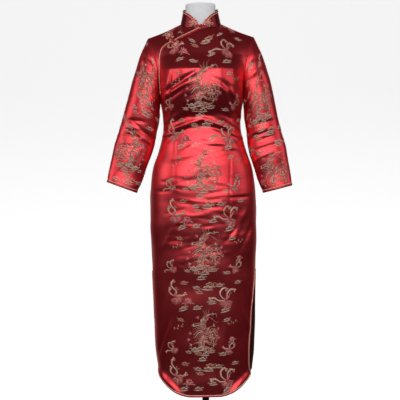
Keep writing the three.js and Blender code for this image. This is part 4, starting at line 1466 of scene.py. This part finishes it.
def dragon():
    """A dragon rising out of a bank of clouds, with a coiled tail, streaming mane, claws and flames."""
    beast = Motif()
    back = [(12, 66), (0, 54), (-7, 38), (2, 20), (10, 2), (0, -16), (-14, -34), (-6, -52)]
    scaled_body(beast, back, 9.0, 46, 0.25)
    turn = np.radians(np.linspace(-150, 330, 13))
    size = np.linspace(25, 11, 13)
    coil = np.stack([38 + size * np.cos(turn), 0 + size * np.sin(turn)], axis=-1)
    scaled_body(beast, coil, 7.2, 40, 0.55)
    # head thrown back, with open jaws, brow, horns and whiskers
    beast.line([(8, 62), (18, 72), (30, 73), (40, 67)], 6.4, GOLD, "tail")
    beast.line([(12, 62), (24, 63), (34, 58)], 4.2, PINK, "tail")
    beast.line([(18, 69), (23, 71)], 3.0, SILVER, "leaf")
    beast.line([(33, 74), (38, 77), (43, 73)], 2.8, SILVER, "leaf")
    for points in (
        [(14, 72), (8, 84), (12, 96)], [(19, 74), (20, 88), (28, 97)], [(10, 70), (0, 80), (-4, 92)],
    ):
        beast.line(points, 3.0, TAN, "tail")
    beast.line([(36, 70), (50, 76), (58, 66), (54, 56)], 1.8, SILVER, "tail")
    beast.line([(32, 60), (46, 50), (56, 44), (66, 48)], 1.8, GOLD, "tail")
    # mane streaming down the left side
    for k in range(13):
        lean = math.radians(150 + 9 * k)
        root = np.array([-6.0 + 0.6 * k, 34.0 - 4.2 * k])
        reach = 40 - 1.4 * abs(k - 6)
        mid = root + 0.5 * reach * np.array([math.cos(lean), math.sin(lean)])
        end = root + reach * np.array([math.cos(lean + 0.35), math.sin(lean + 0.35)])
        hook = end + 5 * np.array([math.cos(lean - 1.2), math.sin(lean - 1.2)])
        beast.line([root, mid, end, hook], 3.4, (GOLD, SILVER, TAN, PINK)[k % 4], "tail")
    # legs with spread claws
    for root, knee, foot, lean in (
        ((-4, 30), (-22, 26), (-36, 34), 150), ((8, 12), (24, 28), (42, 32), 40),
        ((-8, -28), (-28, -26), (-46, -34), 200), ((4, -16), (20, -32), (40, -36), -10),
    ):
        beast.line([root, knee], 6.0, GOLD, "leaf")
        beast.line([knee, foot], 3.6, TAN, "tail")
        for claw in (-54, -20, 14, 48):
            angle = math.radians(lean + claw)
            tip = (foot[0] + 10 * math.cos(angle), foot[1] + 10 * math.sin(angle))
            beast.line([foot, tip], 2.4, SILVER, "tail")
    # flames and the pearl
    for x, z, heading in (
        (-44, 4, 170), (-50, -16, 190), (58, 20, 30), (62, -6, -10), (-20, 56, 120), (48, -26, -40),
    ):
        for bend in (-28, 0, 30):
            angle = math.radians(heading + bend)
            mid = (x + 7 * math.cos(angle - 0.3), z + 7 * math.sin(angle - 0.3))
            tip = (x + 14 * math.cos(angle), z + 14 * math.sin(angle))
            beast.line([(x, z), mid, tip], 2.4, PINK if bend else GOLD, "leaf")
    beast.curl(-8, 50, 7, 30, 640, 3.6, SILVER)
    beast.curl(38, 0, 5, 30, 640, 3.0, SILVER)
    # bank of clouds and wave crests
    for x, z, scale in (
        (-34, -52, 0.62), (-10, -48, 0.72), (16, -52, 0.72), (36, -58, 0.5), (-22, -66, 0.55), (6, -68, 0.62),
        (-8, -86, 0.62), (-58, -60, 0.4),
    ):
        beast.add(ruyi_cloud(SILVER if (x + z) % 4 else GOLD), x, z, scale, 0, flip=x < -10)
    for k in range(9):
        x = -36 + 9 * k
        beast.line([(x, -58), (x + 3, -44), (x + 8, -56)], 2.2, (SILVER, GOLD, TAN)[k % 3], "leaf")
    return beast


def phoenix(plumes):
    """A flying phoenix: a burst of wing feathers, a crested head and long plumes with eyes at their tips."""
    bird = Motif()
    bird.line([(0, -10), (6, 0), (3, 12), (9, 20)], 9.0, PINK, "leaf")
    bird.line([(4, 10), (12, 18), (11, 26), (17, 31)], 4.4, GOLD, "tail")
    bird.line([(15, 31), (24, 30)], 2.8, GOLD, "tail")
    for turn in (70, 98, 126):
        angle = math.radians(turn)
        bird.line([(13, 32), (13 + 10 * math.cos(angle), 32 + 10 * math.sin(angle))], 2.0, TAN, "leaf")
    for ring, (count, reach) in enumerate(((13, 36), (9, 24))):
        for k in range(count):
            angle = math.radians(-165 + (150 / (count - 1)) * k)
            root = (4 + 5 * math.cos(angle), 0 + 5 * math.sin(angle))
            long = reach - 1.2 * abs(k - count // 2)
            mid = (4 + 0.6 * long * math.cos(angle + 0.2), 0.6 * long * math.sin(angle + 0.2))
            tip = (4 + long * math.cos(angle), long * math.sin(angle))
            bird.line([root, mid, tip], 3.2, (PINK, GOLD, PINK, TAN)[(k + ring) % 4], "leaf")
    for points in plumes:
        bird.line(points, 8.6, GOLD, "head")
        bird.line([(x + 1.2, z - 0.8) for x, z in points], 3.0, SILVER, "even")
        (x0, z0), (x1, z1) = points[-2:]
        heading = math.atan2(z1 - z0, x1 - x0)
        for fan in (-0.9, 0.0, 0.9):
            tip = (x1 + 9 * math.cos(heading + fan), z1 + 9 * math.sin(heading + fan))
            bird.line([(x1, z1), tip], 5.6, SILVER if fan else PINK, "leaf")
    return bird


def sprig():
    """A loose twig with buds, which fills the ground between the larger motifs."""
    twig = Motif()
    twig.line([(-16, -8), (-6, -2), (4, 2), (16, 9)], 1.4, TAN, "tail")
    for x, z, turn in ((-10, -4, 120), (-2, 0, -50), (5, 3, 110), (12, 7, -20), (16, 9, 60)):
        angle = math.radians(turn)
        twig.line([(x, z), (x + 8 * math.cos(angle), z + 8 * math.sin(angle))], 3.2, GOLD, "leaf")
    return twig


RISING_PLUMES = (
    [(0, 4), (10, 18), (4, 34), (-8, 46), (-4, 62), (6, 66)],
    [(2, 4), (-14, 14), (-22, 28), (-16, 38)],
    [(4, 2), (20, 6), (32, 0), (44, 6)],
)
SWEPT_PLUMES = (
    [(0, 4), (-20, 14), (-26, 34), (-14, 50), (-4, 44)],
    [(4, 6), (2, 28), (14, 46), (28, 42)],
    [(-4, 2), (-26, -2), (-44, 8), (-58, 4)],
)
MOTIFS = {
    "dragon": dragon(), "phoenix": phoenix(SWEPT_PLUMES), "tall_phoenix": phoenix(RISING_PLUMES),
    "peony": peony(), "cloud": ruyi_cloud(), "gold_cloud": ruyi_cloud(GOLD), "sprig": sprig(),
}

# One repeat of the brocade: kind, place across, place up, scale, turn and whether it is mirrored.
REPEAT = 286
REPEAT_ROWS = (
    ("dragon", -2, -2, 1.0, 0, 0),
    ("phoenix", 92, 118, 0.9, -4, 0),
    ("tall_phoenix", -104, 132, 0.84, 10, 0),
    ("peony", -58, 118, 1.0, 0, 0),
    ("cloud", 14, 162, 0.72, -6, 0), ("gold_cloud", -18, 148, 0.5, 4, 1),
    ("cloud", 34, 112, 0.56, 10, 1), ("cloud", -26, 94, 0.58, 0, 0),
    ("cloud", -76, 90, 0.6, 14, 0), ("cloud", 92, 84, 0.66, 12, 0),
    ("gold_cloud", -84, 52, 0.46, -6, 1), ("cloud", 100, 50, 0.5, 8, 0),
    ("peony", 124, -18, 0.7, 20, 0), ("sprig", -96, 24, 1.0, 0, 0),
    ("tall_phoenix", 116, -56, 0.6, -14, 1), ("phoenix", -112, -52, 0.55, 24, 0),
    ("cloud", 84, -70, 0.5, 4, 1),
    ("gold_cloud", 22, -112, 0.7, 0, 0), ("cloud", -26, -122, 0.5, 3, 1),
    ("cloud", 62, -114, 0.55, -5, 0), ("sprig", 128, 40, 0.9, 40, 1),
    ("gold_cloud", -72, -104, 0.5, -8, 0), ("cloud", 132, -104, 0.5, 0, 0),
)


class Brocade:
    """Motif strokes gathered for one piece of cloth, then woven onto its surface as one mesh."""

    def __init__(self, place, du, dv, sign):
        self.place, self.du, self.dv, self.sign = place, du, dv, sign
        self.paths, self.halves, self.colours = [], [], []

    def scatter(self, motif, u, v, scale, turn, flip, allowed):
        """Lays a motif on the cloth round a centre, keeping its size in mm."""
        u0, v0 = np.array([u], float), np.array([v], float)
        along = (self.place(u0 + self.du, v0) - self.place(u0 - self.du, v0))[0] / (2 * self.du)
        up = (self.place(u0, v0 + self.dv) - self.place(u0, v0 - self.dv))[0] / (2 * self.dv)
        per_u, per_v = np.linalg.norm(along), np.linalg.norm(up) * (1 if self.dv > 0 else -1)
        turned = Motif()
        turned.add(motif, 0, 0, scale, turn, bool(flip))
        for path, half, colour in turned.strokes:
            tangent = np.gradient(path, axis=0)
            tangent /= np.maximum(np.linalg.norm(tangent, axis=1, keepdims=True), 1e-9)
            aside = np.stack([-tangent[:, 1], tangent[:, 0]], axis=-1) * half[:, None]
            both = np.stack([path - aside, path + aside])
            cloth = np.stack([u + both[..., 0] / per_u, v + both[..., 1] / per_v], axis=-1)
            if allowed(cloth[..., 0], cloth[..., 1]).all():
                self.paths.append(cloth)
                self.colours.append(colour)

    def weave(self, name):
        """One grid holds every stroke as a row of cells; the rows between strokes are deleted."""
        cloth = np.array(self.paths)
        count = len(cloth)
        lift = sizes().thread_lift / MM

        def place(s, t):
            step = np.rint(s * STROKE_STEPS).astype(int)
            row = np.rint(t * (2 * count - 1)).astype(int)
            spot = cloth[row // 2, row % 2, step]
            u, v = spot[:, 0], spot[:, 1]
            normal = normals_of(self.place, u, v, abs(self.du), abs(self.dv)) * self.sign
            return self.place(u, v) + normal * (lift + 0.02 * (row // 2 % 9))[:, None]

        bm = bmesh.new()
        bm.loops.layers.uv.new("Weave")
        rows = bmesh.ops.create_grid(bm, x_segments=STROKE_STEPS, y_segments=2 * count - 1, size=0.5)["verts"]
        shares = np.array([vert.co.xy for vert in rows]) + 0.5
        spare = []
        for face in bm.faces:
            row = int((face.calc_center_median().y + 0.5) * (2 * count - 1))
            if row % 2:
                spare.append(face)
            else:
                face.material_index = self.colours[row // 2]
        for vert, point in zip(rows, place(shares[:, 0], shares[:, 1]) * MM):
            vert.co = point
        bmesh.ops.delete(bm, geom=spare, context="FACES")
        piece = finish_mesh(name, bm, thread_materials())
        thicken(piece, 0.00025, offset=-1.0)
        return piece


# Height of the topmost whole dragon on each panel, and how far down each sleeve the repeat is shifted.
FRONT_DRAGON_Z = 1201
BACK_DRAGON_Z = 1150
RIGHT_ARM_SHIFT = 60
LEFT_ARM_SHIFT = 150


def body_brocade(side, centre_z):
    brocade = Brocade(panel_place(side), 0.004, 1.2, -side)

    def inside(u, v):
        return (np.abs(u) < 0.985) & (v > HEM_Z + 3) & (v < TOP - 2)

    for k in range(-1, 6):
        for kind, x, z, scale, turn, flip in REPEAT_ROWS:
            height = centre_z - k * REPEAT + z
            if not HEM_Z - 60 < height < TOP + 40:
                continue
            half = float(cubic(BODY, "half", np.array([min(height, UNDERARM_Z)]))[0])
            u = math.asin(max(-0.97, min(0.97, x / half))) / (math.pi / 2)
            brocade.scatter(MOTIFS[kind], u, min(height, TOP - 5), scale, turn, flip, inside)
    return brocade


def sleeve_brocade(rings, folds, mirror, shift):
    brocade = Brocade(sleeve_place(rings, folds, mirror), 0.003, 0.003, mirror)

    def inside(_, v):
        return (v > 0.012) & (v < 0.975)

    for k in range(3):
        for kind, x, z, scale, turn, flip in REPEAT_ROWS:
            along = 500 - shift - k * REPEAT + z
            for around in (x, x + 170 if x < 0 else x - 170):
                v = 1 - along / SLEEVE_LENGTH
                if not 0 < v < 1 or (around != x and kind != "peony") or kind == "tall_phoenix":
                    continue
                u = 0.25 - mirror * around / SLEEVE_GIRTH
                brocade.scatter(MOTIFS[kind], u, v, scale * 0.95, turn + 180, flip, inside)
    return brocade


def make_brocade():
    pieces = {}
    pieces["front"] = body_brocade(-1, FRONT_DRAGON_Z).weave("brocade_front")
    pieces["back"] = body_brocade(1, BACK_DRAGON_Z).weave("brocade_back")
    pieces["right_arm"] = sleeve_brocade(
        SLEEVE_RIGHT_ARM, SLEEVE_FOLDS_RIGHT, -1, RIGHT_ARM_SHIFT).weave("brocade_right_arm")
    pieces["left_arm"] = sleeve_brocade(
        SLEEVE_LEFT_ARM, SLEEVE_FOLDS_LEFT, 1, LEFT_ARM_SHIFT).weave("brocade_left_arm")
    return pieces


# ---------------------------------------------------------------- operators
def ride(piece, slot_name, *nodes):
    """Fixes a piece to the one body and hides the nodes that it stands for; its slot name is not used."""
    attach(piece, "root")
    if nodes:
        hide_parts(*nodes)


class CHEONGSAM_OT_body(bpy.types.Operator):
    """Makes the front panel, the underlap and the back panel"""

    bl_idname = "cheongsam.body"
    bl_label = "Body panels"

    def execute(self, context):
        ride(make_front(), "brocade_satin", "front_panel")
        ride(make_underlap(), "brocade_satin", "front_underlap")
        ride(make_back(), "brocade_satin", "back_panel")
        return {"FINISHED"}


class CHEONGSAM_OT_sleeves(bpy.types.Operator):
    """Makes both set-in sleeves"""

    bl_idname = "cheongsam.sleeves"
    bl_label = "Sleeves"

    def execute(self, context):
        right = make_sleeve("sleeve_right_arm_cloth", SLEEVE_RIGHT_ARM, SLEEVE_FOLDS_RIGHT, -1)
        ride(right, "brocade_satin", "sleeve_right_arm")
        left = make_sleeve("sleeve_left_arm_cloth", SLEEVE_LEFT_ARM, SLEEVE_FOLDS_LEFT, 1)
        ride(left, "brocade_satin", "sleeve_left_arm")
        return {"FINISHED"}


class CHEONGSAM_OT_collar(bpy.types.Operator):
    """Makes the stand collar"""

    bl_idname = "cheongsam.collar"
    bl_label = "Collar"

    def execute(self, context):
        ride(make_collar(), "brocade_satin", "collar")
        return {"FINISHED"}


class CHEONGSAM_OT_piping(bpy.types.Operator):
    """Makes the bindings and gold cords of every edge"""

    bl_idname = "cheongsam.piping"
    bl_label = "Piping"

    def execute(self, context):
        for node_name, piece in (make_piping() | make_cuffs()).items():
            ride(piece, "piping_satin", node_name)
        return {"FINISHED"}


class CHEONGSAM_OT_frogs(bpy.types.Operator):
    """Makes both flower frogs"""

    bl_idname = "cheongsam.frogs"
    bl_label = "Flower frogs"

    def execute(self, context):
        for node_name, piece in make_frogs().items():
            ride(piece, "frog_cord", node_name)
        return {"FINISHED"}


class CHEONGSAM_OT_brocade(bpy.types.Operator):
    """Weaves the dragons, phoenixes, flowers and clouds into the satin"""

    bl_idname = "cheongsam.brocade"
    bl_label = "Woven motifs"

    def execute(self, context):
        for piece in make_brocade().values():
            ride(piece, "brocade_satin")
        return {"FINISHED"}


class CHEONGSAM_OT_form(bpy.types.Operator):
    """Makes the dress form, its pole and its base"""

    bl_idname = "cheongsam.form"
    bl_label = "Dress form and stand"

    def execute(self, context):
        ride(make_form(), "form_shell", "dress_form")
        for node_name, piece in make_stand().items():
            ride(piece, "stand_paint", node_name)
        return {"FINISHED"}


class CHEONGSAM_OT_cuts(bpy.types.Operator):
    """Does nothing: it states no cut sizes"""

    bl_idname = "cheongsam.cuts"
    bl_label = "State the cuts"

    def execute(self, context):
        return {"FINISHED"}


# Softboxes: name, place, point aimed at, width and height, and power in watts.
SOFTBOXES = (
    ("Front softbox", (0.0, -3.7, 2.15), (0, 0, 1.25), (4.3, 1.75), 86),
    ("Low fill", (0.0, -3.7, 0.98), (0, 0, 1.15), (3.0, 0.5), 2.5),
    ("Left softbox", (-3.3, -1.3, 2.0), (0, 0, 1.2), (1.9, 1.8), 24),
    ("Right softbox", (3.3, -1.3, 2.0), (0, 0, 1.2), (1.9, 1.8), 15),
)


def soft_box(name, place, aim, size, power):
    """An area light at a place, turned to an aim point."""
    data = bpy.data.lights.new(name, "AREA")
    data.shape = "RECTANGLE"
    data.size, data.size_y = size
    data.energy = power
    lamp = bpy.data.objects.new(name, data)
    bpy.context.collection.objects.link(lamp)
    lamp.location = place
    direction = [b - a for a, b in zip(place, aim)]
    yaw = math.atan2(-direction[0], direction[1])
    pitch = math.atan2(direction[2], math.hypot(direction[0], direction[1]))
    lamp.rotation_euler = (math.pi / 2 + pitch, 0, yaw)
    return lamp


def studio_air(scene):
    """White to the camera, a dim sky to matt surfaces, and a pale wall behind the dress to glossy ones."""
    world = bpy.data.worlds.new("Studio air")
    scene.world = world
    world.use_nodes = True
    tree = world.node_tree
    heading = tree.nodes.new("ShaderNodeTexCoord")
    parts = tree.nodes.new("ShaderNodeSeparateXYZ")
    tree.links.new(heading.outputs["Generated"], parts.inputs["Vector"])

    def ramp(axis, start, end, low, high):
        made = tree.nodes.new("ShaderNodeMapRange")
        for key, value in zip(("From Min", "From Max", "To Min", "To Max"), (start, end, low, high)):
            made.inputs[key].default_value = value
        tree.links.new(parts.outputs[axis], made.inputs["Value"])
        return made

    def choose(test, no, yes):
        made = tree.nodes.new("ShaderNodeMix")
        tree.links.new(rays.outputs[test], made.inputs["Factor"])
        tree.links.new(no.outputs["Result"], made.inputs["A"])
        if yes:
            tree.links.new(yes.outputs["Result"], made.inputs["B"])
        else:
            made.inputs["B"].default_value = 1.0
        return made

    rays = tree.nodes.new("ShaderNodeLightPath")
    sky = ramp("Z", -0.2, 0.9, 0.02, 0.5)
    wall = ramp("Y", 0.5, 0.95, 0.02, 0.45)
    strength = choose("Is Camera Ray", choose("Is Glossy Ray", sky, wall), None)
    background = tree.nodes["Background"]
    background.inputs["Color"].default_value = (1, 1, 1, 1)
    tree.links.new(strength.outputs["Result"], background.inputs["Strength"])


class CHEONGSAM_OT_stage(bpy.types.Operator):
    """Sets up the camera, the floor and the soft studio lights"""

    bl_idname = "cheongsam.stage"
    bl_label = "Studio"

    def execute(self, context):
        scene = context.scene
        setting = stage()
        data = bpy.data.cameras.new("Camera")
        data.sensor_width = 36
        data.lens = 36 * setting.distance / setting.frame_height
        camera = bpy.data.objects.new("Camera", data)
        context.collection.objects.link(camera)
        camera.location = (-0.011, -setting.distance, setting.eye_height)
        camera.rotation_euler = (math.pi / 2, setting.roll, 0)
        scene.camera = camera

        bm = bmesh.new()
        wide, deep, bend = 9.0, 4.5, 1.6

        def sweep(s, t):
            """Level floor that curves up into a backdrop, in mm."""
            run = t * (deep * 2 + bend * math.pi / 2 + 4.0)
            flat = np.minimum(run, deep * 2)
            turn = np.clip((run - deep * 2) / bend, 0, math.pi / 2)
            rise = np.maximum(run - deep * 2 - bend * math.pi / 2, 0)
            y = flat - deep * 1.2 + bend * np.sin(turn)
            z = bend * (1 - np.cos(turn)) + rise
            return np.stack([(s - 0.5) * wide, y, z], axis=-1) / MM

        sheet_mesh(bm, 4, 60, sweep)
        floor = finish_mesh("studio_floor", bm, [floor_paper()])
        floor.visible_glossy = False
        floor.visible_diffuse = False
        floor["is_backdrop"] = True

        for softbox in SOFTBOXES:
            soft_box(*softbox)

        studio_air(scene)
        scene.view_settings.view_transform = "Standard"
        return {"FINISHED"}


OPERATORS = (
    CHEONGSAM_OT_body, CHEONGSAM_OT_sleeves, CHEONGSAM_OT_collar, CHEONGSAM_OT_piping,
    CHEONGSAM_OT_frogs, CHEONGSAM_OT_brocade, CHEONGSAM_OT_form, CHEONGSAM_OT_cuts, CHEONGSAM_OT_stage,
)
GROUPS = (
    ("cheongsam_sizes", CheongsamSizes), ("cheongsam_colours", CheongsamColours),
    ("cheongsam_stage", CheongsamStage),
)


class CHEONGSAM_PT_maker(bpy.types.Panel):
    """Lists the settings and the operators"""

    bl_label = "Brocade Cheongsam"
    bl_idname = "CHEONGSAM_PT_maker"
    bl_space_type = "VIEW_3D"
    bl_region_type = "UI"
    bl_category = "Cheongsam"

    def draw(self, context):
        for attribute, group in GROUPS:
            box = self.layout.box()
            box.label(text=group.__doc__)
            for key in group.__annotations__:
                box.prop(getattr(context.scene, attribute), key)
        for operator in OPERATORS:
            self.layout.operator(operator.bl_idname)


def register():
    for attribute, group in GROUPS:
        bpy.utils.register_class(group)
        setattr(bpy.types.Scene, attribute, bpy.props.PointerProperty(type=group))
    for operator in OPERATORS:
        bpy.utils.register_class(operator)
    bpy.utils.register_class(CHEONGSAM_PT_maker)


def unregister():
    bpy.utils.unregister_class(CHEONGSAM_PT_maker)
    for operator in reversed(OPERATORS):
        bpy.utils.unregister_class(operator)
    for attribute, group in reversed(GROUPS):
        delattr(bpy.types.Scene, attribute)
        bpy.utils.unregister_class(group)


def main():
    register()
    for operator in OPERATORS:
        family, action = operator.bl_idname.split(".")
        getattr(getattr(bpy.ops, family), action)()
    plain = lambda box: [[float(x) for x in corner] for corner in box]
    {"cad": plain(CAD_BOX), "visual": plain(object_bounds())}


if __name__ == "__main__":
    main()
